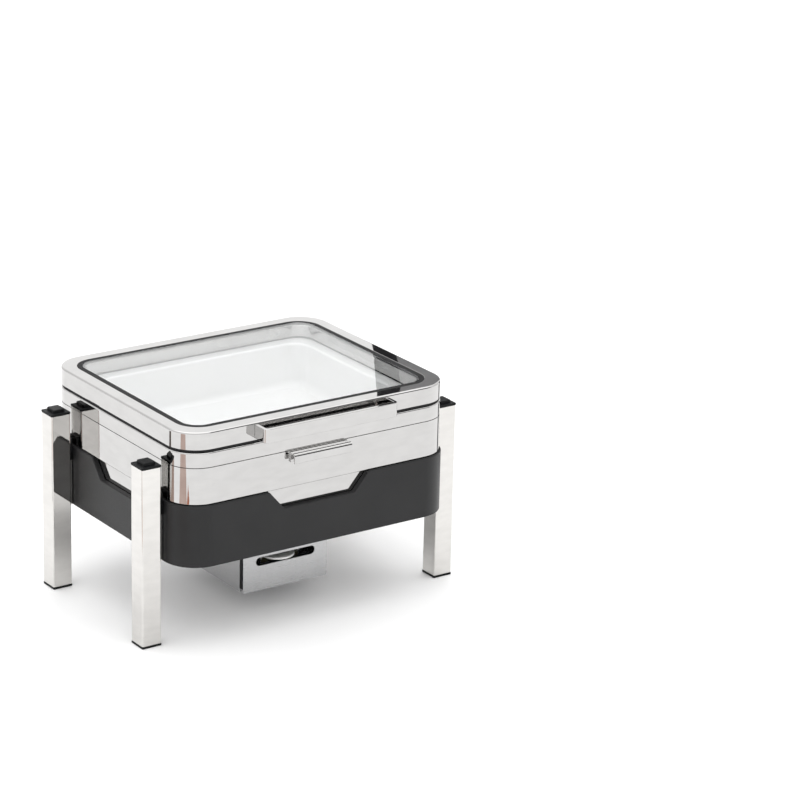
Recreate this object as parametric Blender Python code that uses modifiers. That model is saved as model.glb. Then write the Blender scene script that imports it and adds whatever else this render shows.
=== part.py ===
"""Electric buffet server: a glass-lidded food warmer that lifts out of a four-legged stacking stand.

Metres, +Z up. The origin is on the floor under the middle of the stand. The front, with the lid's
handle, faces -Y, and the lid's hinges are at +Y. Each sub-part is one object, and the moving groups
hang from empties that stand on their joints' axes.
"""
import math

import bmesh
import bpy
from mathutils import Matrix, Vector

MM = 0.001
GAP = 0.3 * MM            # between pieces that touch

# Legs: square tube with a plastic cap at each end
LEG = 30 * MM
LEG_WALL = 1.5 * MM
LEG_CORNER = 2 * MM
LEG_PITCH_X = 487 * MM
LEG_PITCH_Y = 248 * MM
LEG_TOP = 260 * MM
CAP_PLATE = 3 * MM
CAP_LIP = 0.3 * MM        # how far the cap's plate stands out past the tube
CAP_EDGE = 0.5 * MM
CAP_CORNER = 1.2 * MM
CAP_PLUG = 15 * MM
PLUG_CORNER = 0.8 * MM
BOSS_X = 18 * MM
BOSS_Y = 20.5 * MM
BOSS_CORNER = 1.5 * MM
BOSS_EDGE = 0.8 * MM
BOSS_HEIGHT = 4.5 * MM
POCKET_PLAY = 0.8 * MM    # the foot's pocket round the boss of the unit below
POCKET_DEPTH = 5.6 * MM

# Painted band that joins the legs: a skin with a flange turned in along its top, and a dip in each side
BAND_HALF_X = 223 * MM
BAND_HALF_Y = 186.5 * MM
BAND_RADIUS = 48 * MM
BAND_LOW = 121.6 * MM
BAND_TOP = 210.4 * MM
BAND_FLANGE = 7.7 * MM
BAND_SKIN = 2 * MM
BAND_EDGE = 1.2 * MM
DIP_DEPTH = 27 * MM
DIP_RUN = 23.5 * MM       # sideways travel of a dip's sloping end
FRONT_DIP_HALF = 58 * MM  # half the flat bottom of a dip
FRONT_DIP_X = -4 * MM
SIDE_DIP_HALF = 45 * MM
SIDE_DIP_Y = -9 * MM

# What holds a leg off the band
CLIP_LOW = 190 * MM
CLIP_TOP = 221 * MM
STANDOFF_WIDTH = 20 * MM
STANDOFF_EDGE = 0.8 * MM
LEG_SCREW_Z = 200 * MM
LEG_SCREW_RADIUS = 2.5 * MM
LEG_SCREW_HEAD = 5 * MM
LEG_SCREW_HEAD_HEIGHT = 3 * MM
LEG_SCREW_END = 8 * MM    # how far it ends inside the leg

# Water tub and the ring on it
BODY_HALF_X = 220 * MM
BODY_HALF_Y = 183.5 * MM
BODY_RADIUS = 45 * MM
TUB_FLOOR = 126 * MM
TUB_INSET = 5.5 * MM      # how far the lower wall stands inside the upper wall
TUB_WALL = 1.2 * MM
SEAM = 264 * MM
RING_TOP = 285.5 * MM
RING_INNER = 40 * MM      # inset of the ring's inner edge
RING_TURN_DOWN = 8 * MM
SHEET = 1.5 * MM

# Porcelain food pan
PAN_FLOOR = 225 * MM
PAN_WALL = 4 * MM
PAN_RIM_HALF_X = 191 * MM
PAN_RIM_HALF_Y = 154.5 * MM
PAN_RADIUS = 25 * MM
PAN_HALF_X = 174 * MM     # its wall just under the rim
PAN_HALF_Y = 137.5 * MM
PAN_DRAFT = 5 * MM        # how far the wall leans in on its way down

# Lid
LID_LOW = 290 * MM
LID_TOP = 315 * MM
LID_EDGE = 3 * MM
LID_RIM = 19.5 * MM       # width of the flat steel rim
LID_HOLE_RADIUS = 34 * MM
LID_SEAT = 11 * MM        # width of the seat under gasket and glass
LID_SEAT_Z = 309.5 * MM
LID_INNER_LOW = 292 * MM
GASKET_WIDTH = 7 * MM
GLASS = 4 * MM
SEAL_INSET = 1.5 * MM
SEAL_WIDTH = 6 * MM
HANDLE_HALF = 109 * MM
HANDLE_REACH = 27.5 * MM
HANDLE_THICK = 5 * MM
HANDLE_LOW = 292.5 * MM
HANDLE_TOP = 312.5 * MM
HANDLE_BEND = 8 * MM
HANDLE_SCREW_RADIUS = 1.6 * MM
HANDLE_SCREW_HEAD = 3.3 * MM
HANDLE_SCREW_Z = 302.5 * MM
HANDLE_SCREW_LENGTH = 11 * MM

# Rear hinges
HINGE_X = 120 * MM
HINGE_Y = 202 * MM
HINGE_Z = 277 * MM
HINGE_HALF_WIDTH = 14 * MM
KNUCKLE_HALF_WIDTH = 9.2 * MM
CHEEK_RADIUS = 9 * MM
KNUCKLE_RADIUS = 7 * MM
FORK_TOP = 285 * MM       # of its plate on the ring's wall
FORK_PLATE = 2.5 * MM
ARM_TOP = 310 * MM
PIN_RADIUS = 3 * MM
PIN_HEAD = 5 * MM

# Handle under the ring at the front
LEDGE_X = -5 * MM
LEDGE_HALF = 47 * MM
LEDGE_REACH = 12.5 * MM
LEDGE_TOP = 262 * MM
LEDGE_LIP = 14 * MM
LEDGE_BEND = 4.5 * MM
LEDGE_SHEET = 2.5 * MM

# Heater box under the band, and the heater drawer in it
BAR_X = 85 * MM
BAR_WIDTH = 25 * MM
BAR_THICK = 3 * MM
BAR_TURN_UP = 25 * MM
BOX_HALF_X = 70 * MM
BOX_LOW = 25 * MM
BOX_FRONT = -87 * MM
BOX_BACK = 93 * MM
BOX_SHEET = 1.2 * MM
DRAWER_FRONT = -96 * MM
DRAWER_BACK = 88 * MM
DRAWER_PLAY = 0.6 * MM
DRAWER_TOP = 110.3 * MM
DRAWER_CORNER = 3 * MM
PANEL_TOP = 118.5 * MM
INSULATOR_LOW = 31 * MM
INSULATOR_LIP = 0.8 * MM  # how far it shows past the steel face
SLOT_Z = 68.5 * MM
SLOT_HALF = 49 * MM
SLOT_HEIGHT = 12.5 * MM
SLOT_MARGIN = 2 * MM      # of the same slot in the pieces behind the steel face

# Heating plate and the tube element under it
PLATE_LOW = 110.6 * MM
PLATE_TOP = 119.8 * MM
PLATE_HALF_Y = 76 * MM
PLATE_CORNER = 6 * MM
PLATE_EDGE = 1.5 * MM
ELEMENT_RADIUS = 3.2 * MM
ELEMENT_RUN = 15 * MM     # half the distance between two runs
ELEMENT_TURN_Y = 45 * MM  # where the half turns start
ELEMENT_END_Y = 68 * MM
ELEMENT_Z = PLATE_LOW - 4 * MM

# Thermostat and its dial
SWITCH_Y = -66.5 * MM
SWITCH_HALF_X = 20 * MM
SWITCH_HALF_Y = 17.5 * MM
SWITCH_TOP = 52 * MM
BUSH_RADIUS = 6 * MM
BUSH_TOP = 60 * MM
DIAL_Y = -73.2 * MM
DIAL_RADIUS = 25 * MM
DIAL_LOW = 64.5 * MM
DIAL_TOP = 67.5 * MM
DIAL_EDGE = 0.7 * MM
SHAFT_RADIUS = 3 * MM
SHAFT_LOW = 46 * MM
CHEEK_LEFT = -34 * MM     # the bracket's upright cheeks
CHEEK_RIGHT = 30 * MM
CHEEK_TOP = 82 * MM

# Thermal cut-out, mains inlet and leads
CUTOUT_RADIUS = 8 * MM
CUTOUT_STEM = 5 * MM
CUTOUT_STEP = 4 * MM
INLET_Z = 55 * MM
INLET_HALF_X = 14 * MM
INLET_HALF_Z = 10.5 * MM
INLET_DEPTH = 28 * MM
INLET_RIM = 3.5 * MM
INLET_RIM_THICK = 3 * MM
SOCKET_WALL = 2 * MM
SOCKET_DEPTH = 17 * MM
LEAD_RADIUS = 1.6 * MM
LEAD_X = 8 * MM
LEAD_LOW = 40 * MM
LEAD_INLET_Y = 58 * MM
LEAD_SWITCH_Y = -48 * MM

CORNER_STEPS = 8
ROUND_STEPS = 24
CUT_PAST = 2 * MM         # how far a cutter runs past the face that it cuts

BAND = (BAND_HALF_X, BAND_HALF_Y, BAND_RADIUS)
BODY = (BODY_HALF_X, BODY_HALF_Y, BODY_RADIUS)
LID_HOLE = (BODY_HALF_X - LID_RIM, BODY_HALF_Y - LID_RIM, LID_HOLE_RADIUS)


# ---------------------------------------------------------------- helpers

def clear_scene():
    for old in list(bpy.data.objects):
        bpy.data.objects.remove(old, do_unlink=True)


def new_collection(name):
    made = bpy.data.collections.new(name)
    bpy.context.scene.collection.children.link(made)
    return made


def new_material(name, colour, roughness, metallic=0.0, alpha=1.0):
    material = bpy.data.materials.new(name)
    material.use_nodes = True
    shader = material.node_tree.nodes["Principled BSDF"]
    shader.inputs["Base Color"].default_value = (*colour, 1.0)
    shader.inputs["Roughness"].default_value = roughness
    shader.inputs["Metallic"].default_value = metallic
    shader.inputs["Alpha"].default_value = alpha
    material.diffuse_color = (*colour, alpha)
    return material


def add_part(name, bm, material, collection=None):
    """Turn a finished bmesh into a named object of the part."""
    mesh = bpy.data.meshes.new(name)
    bm.to_mesh(mesh)
    bm.free()
    mesh.materials.append(material)
    made = bpy.data.objects.new(name, mesh)
    (collection or PARTS).objects.link(made)
    return made


def add_cutter(name, bm):
    cutter = add_part(name, bm, BLACK, CUTTERS)
    cutter.hide_render = True
    cutter.display_type = 'WIRE'
    return cutter


def cut(part, cutter):
    modifier = part.modifiers.new(cutter.name, 'BOOLEAN')
    modifier.operation = 'DIFFERENCE'
    modifier.solver = 'EXACT'
    modifier.object = cutter


def thicken(part, wall):
    """Give an open surface its wall, on the side away from its normals."""
    modifier = part.modifiers.new("wall", 'SOLIDIFY')
    modifier.thickness = wall
    modifier.offset = -1
    modifier.use_even_offset = True


def inset(base, depth):
    half_x, half_y, radius = base
    return half_x - depth, half_y - depth, radius - depth


def rounded_outline(half_x, half_y, radius, steps=CORNER_STEPS):
    """Rounded rectangle, anticlockwise from above, starting on the front edge at the right."""
    points = []
    for corner in range(4):
        side_x = 1 if corner in (0, 1) else -1
        side_y = -1 if corner in (0, 3) else 1
        centre_x = side_x * (half_x - radius)
        centre_y = side_y * (half_y - radius)
        for step in range(steps + 1):
            angle = math.radians(90) * (corner - 1 + step / steps)
            points.append((centre_x + radius * math.cos(angle), centre_y + radius * math.sin(angle)))
    return points


def outline_loops(bm, levels, steps):
    """One loop of vertices for each level, a rounded rectangle (half x, half y, radius) at height z."""
    loops = []
    for half_x, half_y, radius, z in levels:
        outline = rounded_outline(half_x, half_y, radius, steps)
        loops.append([bm.verts.new((x, y, z)) for x, y in outline])
    return loops


def skin(bm, first, second):
    count = len(first)
    for i in range(count):
        j = (i + 1) % count
        bm.faces.new((first[i], first[j], second[j], second[i]))


def stepped_shell(name, levels, wall, material, floor=False, steps=CORNER_STEPS):
    """Sheet that runs through the levels in turn, up the outside first, closed below by a floor."""
    bm = bmesh.new()
    loops = outline_loops(bm, levels, steps)
    for lower, upper in zip(loops, loops[1:]):
        skin(bm, lower, upper)
    if floor:
        bm.faces.new(reversed(loops[0]))
    part = add_part(name, bm, material)
    thicken(part, wall)
    return part


def stacked_solid(name, levels, material, steps=3, collection=None):
    """Solid through the levels from bottom to top, closed at both ends."""
    bm = bmesh.new()
    loops = outline_loops(bm, levels, steps)
    for lower, upper in zip(loops, loops[1:]):
        skin(bm, lower, upper)
    bm.faces.new(reversed(loops[0]))
    bm.faces.new(loops[-1])
    return add_part(name, bm, material, collection)


def ring_levels(base, section):
    """Levels of a section of (inset, z) corners measured from an outline."""
    return [(*inset(base, depth), z) for depth, z in section]


def ring_solid(name, base, section, material, collection=None):
    """Closed ring: a section of (inset, z) corners carried round an outline, outer wall upwards first."""
    bm = bmesh.new()
    loops = outline_loops(bm, ring_levels(base, section), CORNER_STEPS)
    for index, loop in enumerate(loops):
        skin(bm, loop, loops[(index + 1) % len(loops)])
    return add_part(name, bm, material, collection)


def plate_levels(half_x, half_y, radius, low, high):
    """Two levels of the same outline, for an upright prism."""
    return [(half_x, half_y, radius, low), (half_x, half_y, radius, high)]


def extruded(name, profile, direction, length, material, collection=None):
    """Flat profile of 3-D points, pushed along a direction for a length."""
    bm = bmesh.new()
    face = bm.faces.new([bm.verts.new(point) for point in profile])
    pushed = bmesh.ops.extrude_face_region(bm, geom=[face])
    moved = [item for item in pushed["geom"] if isinstance(item, bmesh.types.BMVert)]
    bmesh.ops.translate(bm, vec=Vector(direction) * length, verts=moved)
    bmesh.ops.recalc_face_normals(bm, faces=bm.faces)
    return add_part(name, bm, material, collection)


def box_mesh(low, high):
    """A box between two corners, as a bmesh."""
    bm = bmesh.new()
    size = Vector(high) - Vector(low)
    centre = (Vector(high) + Vector(low)) / 2
    place = Matrix.Translation(centre) @ Matrix.Diagonal((*size, 1))
    bmesh.ops.create_cube(bm, size=1, matrix=place)
    return bm


def rod_mesh(centre, axis, radius, length, segments=16):
    """A round rod about its centre, along 'X', 'Y' or 'Z', as a bmesh."""
    turns = {
        'X': Matrix.Rotation(math.radians(90), 4, 'Y'),
        'Y': Matrix.Rotation(math.radians(90), 4, 'X'),
        'Z': Matrix.Identity(4),
    }
    bm = bmesh.new()
    place = Matrix.Translation(centre) @ turns[axis]
    bmesh.ops.create_cone(bm, cap_ends=True, segments=segments, radius1=radius, radius2=radius,
                          depth=length, matrix=place)
    return bm


def turned(name, profile, material, steps=ROUND_STEPS):
    """Profile of (radius, z) points, from its top on the axis to its bottom, turned about Z."""
    bm = bmesh.new()
    points = [bm.verts.new((radius, 0, z)) for radius, z in profile]
    for upper, lower in zip(points, points[1:]):
        bm.edges.new((upper, lower))
    part = add_part(name, bm, material)
    screw = part.modifiers.new("turn", 'SCREW')
    screw.steps = steps
    screw.render_steps = steps
    screw.use_merge_vertices = True
    screw.merge_threshold = 0.00001
    weld = part.modifiers.new("poles", 'WELD')
    weld.merge_threshold = 0.00001
    return part


def tube_along(name, points, radius, material):
    """Round tube on a line of points, with closed ends, as a mesh."""
    curve = bpy.data.curves.new(name, 'CURVE')
    curve.dimensions = '3D'
    curve.bevel_depth = radius
    curve.bevel_resolution = 2
    curve.use_fill_caps = True
    spline = curve.splines.new('POLY')
    spline.points.add(len(points) - 1)
    for slot, point in zip(spline.points, points):
        slot.co = (*point, 1)
    made = bpy.data.objects.new(name + "_line", curve)
    PARTS.objects.link(made)
    graph = bpy.context.evaluated_depsgraph_get()
    mesh = bpy.data.meshes.new_from_object(made.evaluated_get(graph))
    bpy.data.objects.remove(made, do_unlink=True)
    bm = bmesh.new()
    bm.from_mesh(mesh)
    bmesh.ops.remove_doubles(bm, verts=bm.verts, dist=0.00001)
    bmesh.ops.recalc_face_normals(bm, faces=bm.faces)
    bpy.data.meshes.remove(mesh)
    return add_part(name, bm, material)


def soft_edges(part, width, segments=2):
    modifier = part.modifiers.new("edges", 'BEVEL')
    modifier.width = width
    modifier.segments = segments
    modifier.limit_method = 'ANGLE'
    modifier.angle_limit = math.radians(40)


def joint_empty(name, place):
    empty = bpy.data.objects.new(name, None)
    empty.location = place
    empty.empty_display_size = 0.03
    PARTS.objects.link(empty)
    return empty


def hang(parent, *parts):
    """Parent parts to an empty without moving them."""
    for part in parts:
        part.parent = parent
        part.matrix_parent_inverse = Matrix.Translation(-Vector(parent.location))


# ---------------------------------------------------------------- stand

def leg_places():
    """Name, x and y of each leg's middle."""
    for end, side_y in (("front", -1), ("rear", 1)):
        for hand, side_x in (("left", -1), ("right", 1)):
            yield f"{end}_{hand}", side_x * LEG_PITCH_X / 2, side_y * LEG_PITCH_Y / 2


def shifted(part, x, y):
    part.location = (x, y, 0)
    return part


def make_leg(place, x, y):
    """Square tube, open at both ends, with the screw's hole in the wall that faces the band."""
    levels = plate_levels(LEG / 2, LEG / 2, LEG_CORNER, CAP_PLATE + GAP, LEG_TOP)
    leg = shifted(stepped_shell(f"leg_{place}", levels, LEG_WALL, STEEL, steps=3), x, y)
    inner_face = x - math.copysign(LEG / 2, x)
    hole = rod_mesh((inner_face, y, LEG_SCREW_Z), 'X', LEG_SCREW_RADIUS + GAP, 3 * LEG_WALL)
    cut(leg, add_cutter(f"leg_hole_{place}", hole))


def make_stacking_cap(place, x, y):
    """Plug in the tube, a plate over its end and the raised boss that the next unit's foot sits on."""
    plug = LEG / 2 - LEG_WALL - GAP
    plate = (LEG / 2 + CAP_LIP, LEG / 2 + CAP_LIP, CAP_CORNER)
    boss = (BOSS_X / 2, BOSS_Y / 2, BOSS_CORNER)
    low = LEG_TOP + GAP
    top = low + CAP_PLATE
    levels = [
        (plug, plug, PLUG_CORNER, low - CAP_PLUG), (plug, plug, PLUG_CORNER, low),
        (*plate, low), (*plate, top - CAP_EDGE), (*inset(plate, CAP_EDGE), top),
        (*boss, top), (*boss, top + BOSS_HEIGHT - BOSS_EDGE), (*inset(boss, BOSS_EDGE), top + BOSS_HEIGHT),
    ]
    shifted(stacked_solid(f"stacking_cap_{place}", levels, BLACK), x, y)


def make_foot_cap(place, x, y):
    """Floor plate and plug, with a pocket below for the boss of the unit it is stacked on."""
    plug = LEG / 2 - LEG_WALL - GAP
    plate = (LEG / 2 + CAP_LIP, LEG / 2 + CAP_LIP, CAP_CORNER)
    levels = [(*inset(plate, CAP_EDGE), 0), (*plate, CAP_EDGE), (*plate, CAP_PLATE),
              (plug, plug, PLUG_CORNER, CAP_PLATE), (plug, plug, PLUG_CORNER, CAP_PLATE + CAP_PLUG)]
    cap = shifted(stacked_solid(f"foot_cap_{place}", levels, BLACK), x, y)
    half_x = BOSS_X / 2 + POCKET_PLAY
    half_y = BOSS_Y / 2 + POCKET_PLAY
    pocket = box_mesh((x - half_x, y - half_y, -CUT_PAST), (x + half_x, y + half_y, POCKET_DEPTH))
    cut(cap, add_cutter(f"foot_pocket_{place}", pocket))


def make_screw(name, radius, length, head_radius, head_height):
    """Screw along Z, its low round head above z = 0 and its shank below."""
    edge = head_height / 3
    profile = [(0, head_height), (head_radius - edge, head_height), (head_radius, head_height - edge),
               (head_radius, 0), (radius, 0), (radius, -length), (0, -length)]
    return turned(name, profile, BRIGHT_STEEL, 16)


def make_leg_fixing(place, x, y):
    """Black clip and steel standoff bar between leg and band, and the screw through the clip."""
    side = math.copysign(1, x)
    near = BAND_HALF_X + GAP
    far = abs(x) - LEG / 2 - GAP
    ends = sorted((side * near, side * far))
    half = STANDOFF_WIDTH / 2
    clip_mesh = box_mesh((ends[0], y - half, CLIP_LOW), (ends[1], y + half, CLIP_TOP))
    clip = add_part(f"leg_clip_{place}", clip_mesh, BLACK)
    hole = rod_mesh((side * (near + far) / 2, y, LEG_SCREW_Z), 'X', LEG_SCREW_RADIUS + GAP,
                    far - near + 2 * CUT_PAST)
    cut(clip, add_cutter(f"clip_hole_{place}", hole))
    bar_mesh = box_mesh((ends[0], y - half, BAND_LOW), (ends[1], y + half, CLIP_LOW - GAP))
    soft_edges(add_part(f"leg_standoff_{place}", bar_mesh, STEEL), STANDOFF_EDGE, 1)
    head_top = BAND_HALF_X - BAND_SKIN - GAP
    length = abs(x) - LEG / 2 + LEG_SCREW_END - head_top
    screw = make_screw(f"leg_screw_{place}", LEG_SCREW_RADIUS, length, LEG_SCREW_HEAD, LEG_SCREW_HEAD_HEIGHT)
    screw.rotation_euler = (0, -side * math.radians(90), 0)
    screw.location = (side * head_top, y, LEG_SCREW_Z)


def dip_profile(half_bottom, grow):
    """Trapezoid across a dip (sideways, z), every face moved outwards by grow."""
    slope = math.hypot(DIP_RUN, DIP_DEPTH)
    widen = grow * slope / DIP_DEPTH
    per_height = DIP_RUN / DIP_DEPTH
    low = BAND_TOP - DIP_DEPTH - grow
    high = BAND_TOP + 5 * CUT_PAST
    bottom = half_bottom + widen - grow * per_height
    top = bottom + (high - low) * per_height
    return [(-bottom, low), (bottom, low), (top, high), (-top, high)]


def cut_dips(part, grow, label):
    """Dips through the front and rear walls, and through both side walls."""
    far_y = BAND_HALF_Y + CUT_PAST
    far_x = BAND_HALF_X + CUT_PAST
    front = [(side + FRONT_DIP_X, -far_y, z) for side, z in dip_profile(FRONT_DIP_HALF, grow)]
    cut(part, as_cutter(extruded(f"front_rear_dip_{label}", front, (0, 1, 0), 2 * far_y, BLACK, CUTTERS)))
    across = [(-far_x, side + SIDE_DIP_Y, z) for side, z in dip_profile(SIDE_DIP_HALF, grow)]
    cut(part, as_cutter(extruded(f"side_dip_{label}", across, (1, 0, 0), 2 * far_x, BLACK, CUTTERS)))


def as_cutter(part):
    part.hide_render = True
    part.display_type = 'WIRE'
    return part


def make_band():
    """Painted skin round the stand. Its top flange follows the dips, and it is open inside and below."""
    section = [(0, BAND_LOW), (0, BAND_TOP - BAND_EDGE), (BAND_EDGE, BAND_TOP), (BAND_FLANGE, BAND_TOP),
               (BAND_FLANGE, BAND_LOW)]
    band = ring_solid("frame_band", BAND, section, PAINT)
    cut_dips(band, 0, "outer")
    past = BAND_FLANGE + CUT_PAST
    under = BAND_LOW - CUT_PAST
    flange_low = BAND_TOP - BAND_SKIN
    room_section = [(BAND_SKIN, under), (BAND_SKIN, flange_low), (past, flange_low), (past, under)]
    room = as_cutter(ring_solid("band_room", BAND, room_section, BLACK, CUTTERS))
    cut_dips(room, BAND_SKIN, "inner")
    cut(band, room)
    for place, x, y in leg_places():
        side = math.copysign(1, x)
        middle = (side * (BAND_HALF_X - BAND_SKIN / 2), y, LEG_SCREW_Z)
        hole = rod_mesh(middle, 'X', LEG_SCREW_RADIUS + GAP, 3 * BAND_SKIN)
        cut(band, add_cutter(f"band_hole_{place}", hole))


def make_crossbar(hand, side):
    """Strap under the tub, its ends turned up against the inside of the band."""
    end = BAND_HALF_Y - BAND_SKIN - GAP
    turn_up = BAND_LOW + BAR_TURN_UP
    inner = end - BAR_THICK
    deck = BAND_LOW + BAR_THICK
    x = side * BAR_X - BAR_WIDTH / 2
    profile = [(x, -end, BAND_LOW), (x, end, BAND_LOW), (x, end, turn_up), (x, inner, turn_up),
               (x, inner, deck), (x, -inner, deck), (x, -inner, turn_up), (x, -end, turn_up)]
    extruded(f"crossbar_{hand}", profile, (1, 0, 0), BAR_WIDTH, STEEL)


def make_heater_box():
    """Folded sleeve, open at front, rear and top, hung by two flanges under the crossbars."""
    flange = BAND_LOW - GAP - BOX_SHEET
    reach = BAR_X + BAR_WIDTH / 2
    path = [(-reach, flange), (-BOX_HALF_X, flange), (-BOX_HALF_X, BOX_LOW),
            (BOX_HALF_X, BOX_LOW), (BOX_HALF_X, flange), (reach, flange)]
    bm = bmesh.new()
    front = [bm.verts.new((x, BOX_FRONT, z)) for x, z in path]
    rear = [bm.verts.new((x, BOX_BACK, z)) for x, z in path]
    for i in range(len(path) - 1):
        bm.faces.new((rear[i], rear[i + 1], front[i + 1], front[i]))
    thicken(add_part("heater_box", bm, SATIN_STEEL), BOX_SHEET)


# ---------------------------------------------------------------- heater drawer

def slot_cutter(name, half_length, height, y_low, y_high):
    """Round-ended slot through the drawer's front pieces."""
    radius = height / 2
    levels = plate_levels(half_length, radius, 0.999 * radius, 0, y_high - y_low)
    cutter = as_cutter(stacked_solid(name, levels, BLACK, 6, CUTTERS))
    cutter.rotation_euler = (math.radians(-90), 0, 0)
    cutter.location = (0, y_low, SLOT_Z)
    return cutter


def make_drawer_tray():
    """Open-topped sheet box that carries the heater's pieces."""
    front = BOX_FRONT
    half_x = BOX_HALF_X - BOX_SHEET - DRAWER_PLAY
    half_y = (DRAWER_BACK - front) / 2
    low = BOX_LOW + BOX_SHEET + DRAWER_PLAY
    levels = plate_levels(half_x, half_y, DRAWER_CORNER, low, DRAWER_TOP)
    tray = stepped_shell("drawer_tray", levels, BOX_SHEET, SATIN_STEEL, floor=True, steps=2)
    tray.location = (0, (DRAWER_BACK + front) / 2, 0)
    cut(tray, slot_cutter("tray_slot", SLOT_HALF + SLOT_MARGIN, SLOT_HEIGHT + SLOT_MARGIN,
                          front - CUT_PAST, front + 2 * CUT_PAST))
    hole_x = INLET_HALF_X + 2 * GAP
    hole_z = INLET_HALF_Z + 2 * GAP
    hole = box_mesh((-hole_x, DRAWER_BACK - 2 * CUT_PAST, INLET_Z - hole_z),
                    (hole_x, DRAWER_BACK + 2 * CUT_PAST, INLET_Z + hole_z))
    cut(tray, add_cutter("inlet_hole", hole))
    return tray


def make_drawer_front():
    """Steel face with the round-ended slot."""
    half_z = (PANEL_TOP - BOX_LOW) / 2
    levels = plate_levels(BOX_HALF_X, half_z, DRAWER_CORNER, 0, BOX_SHEET)
    front = stacked_solid("drawer_front", levels, SATIN_STEEL)
    front.rotation_euler = (math.radians(-90), 0, 0)
    front.location = (0, DRAWER_FRONT, BOX_LOW + half_z)
    cut(front, slot_cutter("front_slot", SLOT_HALF, SLOT_HEIGHT, DRAWER_FRONT - CUT_PAST,
                           DRAWER_FRONT + 2 * CUT_PAST))
    return front


def make_front_insulator():
    """Black heat-resistant plate between the steel face and the tray."""
    low_y = DRAWER_FRONT + BOX_SHEET + GAP
    high_y = BOX_FRONT - GAP
    half_x = BOX_HALF_X + INSULATOR_LIP
    plate = box_mesh((-half_x, low_y, INSULATOR_LOW), (half_x, high_y, PANEL_TOP - BOX_SHEET))
    insulator = add_part("front_insulator", plate, BLACK)
    cut(insulator, slot_cutter("insulator_slot", SLOT_HALF + SLOT_MARGIN, SLOT_HEIGHT + SLOT_MARGIN,
                               low_y - CUT_PAST, high_y + CUT_PAST))
    return insulator


def make_heating_plate():
    """Cast plate on the tray's side walls, just under the tub."""
    base = (BOX_HALF_X - BOX_SHEET - 1 * MM, PLATE_HALF_Y, PLATE_CORNER)
    levels = ring_levels(base, [(0, PLATE_LOW), (0, PLATE_TOP - PLATE_EDGE), (PLATE_EDGE, PLATE_TOP)])
    return stacked_solid("heating_plate", levels, CAST_ALUMINIUM)


def element_line():
    """Four runs along Y joined by half turns, both ends at the rear."""
    points = [(-3 * ELEMENT_RUN, ELEMENT_END_Y, ELEMENT_Z)]
    for centre, bulge in ((-2, -1), (0, 1), (2, -1)):
        for step in range(7):
            angle = math.pi * (1 - step / 6)
            points.append((ELEMENT_RUN * (centre + math.cos(angle)),
                           bulge * (ELEMENT_TURN_Y + ELEMENT_RUN * math.sin(angle)), ELEMENT_Z))
    points.append((3 * ELEMENT_RUN, ELEMENT_END_Y, ELEMENT_Z))
    return points


def bent_lead(start, pull_start, pull_end, end, count=12):
    """Points on a smooth cubic from start to end, drawn towards the two pull points."""
    points = []
    for step in range(count + 1):
        t = step / count
        weights = ((1 - t) ** 3, 3 * t * (1 - t) ** 2, 3 * t * t * (1 - t), t ** 3)
        corners = (start, pull_start, pull_end, end)
        points.append(tuple(sum(w * c[axis] for w, c in zip(weights, corners)) for axis in range(3)))
    return points


def make_leads():
    """Insulated leads from inlet to thermostat and from thermostat to the heating element."""
    element_end = (3 * ELEMENT_RUN, ELEMENT_END_Y + 2 * MM, ELEMENT_Z)
    supply = bent_lead((-LEAD_X, LEAD_INLET_Y, INLET_Z), (-LEAD_X, 10 * MM, INLET_Z),
                       (-LEAD_X, 0, LEAD_LOW), (-LEAD_X, LEAD_SWITCH_Y, LEAD_LOW))
    switched = bent_lead((LEAD_X, LEAD_SWITCH_Y, LEAD_LOW), (LEAD_X, 20 * MM, LEAD_LOW),
                         (3 * ELEMENT_RUN, 110 * MM, 80 * MM), element_end)
    return (tube_along("supply_lead", supply, LEAD_RADIUS, BLACK),
            tube_along("element_lead", switched, LEAD_RADIUS, SILICONE))


def tray_floor():
    """Height of the upper face of the tray's floor."""
    return BOX_LOW + 2 * BOX_SHEET + DRAWER_PLAY


def make_thermostat_bracket():
    """Folded bracket on the tray's floor: a base under the thermostat and an upright cheek on each side."""
    low = tray_floor() + GAP
    base = low + BOX_SHEET
    front = SWITCH_Y - SWITCH_HALF_Y
    left = CHEEK_LEFT + BOX_SHEET
    right = CHEEK_RIGHT - BOX_SHEET
    line = [(CHEEK_LEFT, low), (CHEEK_RIGHT, low), (CHEEK_RIGHT, CHEEK_TOP), (right, CHEEK_TOP),
            (right, base), (left, base), (left, CHEEK_TOP), (CHEEK_LEFT, CHEEK_TOP)]
    profile = [(x, front, z) for x, z in line]
    return extruded("thermostat_bracket", profile, (0, 1, 0), 2 * SWITCH_HALF_Y, BRIGHT_STEEL)


def make_thermostat():
    """Switch body on its bracket with a round bush under the dial."""
    low = tray_floor() + BOX_SHEET + 2 * GAP
    switch = (SWITCH_HALF_X, SWITCH_HALF_Y, 2 * MM)
    levels = [(*switch, low), (*switch, SWITCH_TOP)]
    body = stacked_solid("thermostat_body", levels, CREAM_PLASTIC)
    body.location = (0, SWITCH_Y, 0)
    bush_low = SWITCH_TOP + GAP
    bush = turned("thermostat_bush", [(SHAFT_RADIUS + GAP, BUSH_TOP), (BUSH_RADIUS, BUSH_TOP),
                                      (BUSH_RADIUS, bush_low), (SHAFT_RADIUS + GAP, bush_low),
                                      (SHAFT_RADIUS + GAP, BUSH_TOP)], BRIGHT_STEEL)
    bush.location = (0, DIAL_Y, 0)
    bore = rod_mesh((0, DIAL_Y, SWITCH_TOP), 'Z', SHAFT_RADIUS + GAP, 2 * (SWITCH_TOP - SHAFT_LOW + GAP))
    cut(body, add_cutter("thermostat_bore", bore))
    return body, bush


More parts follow.
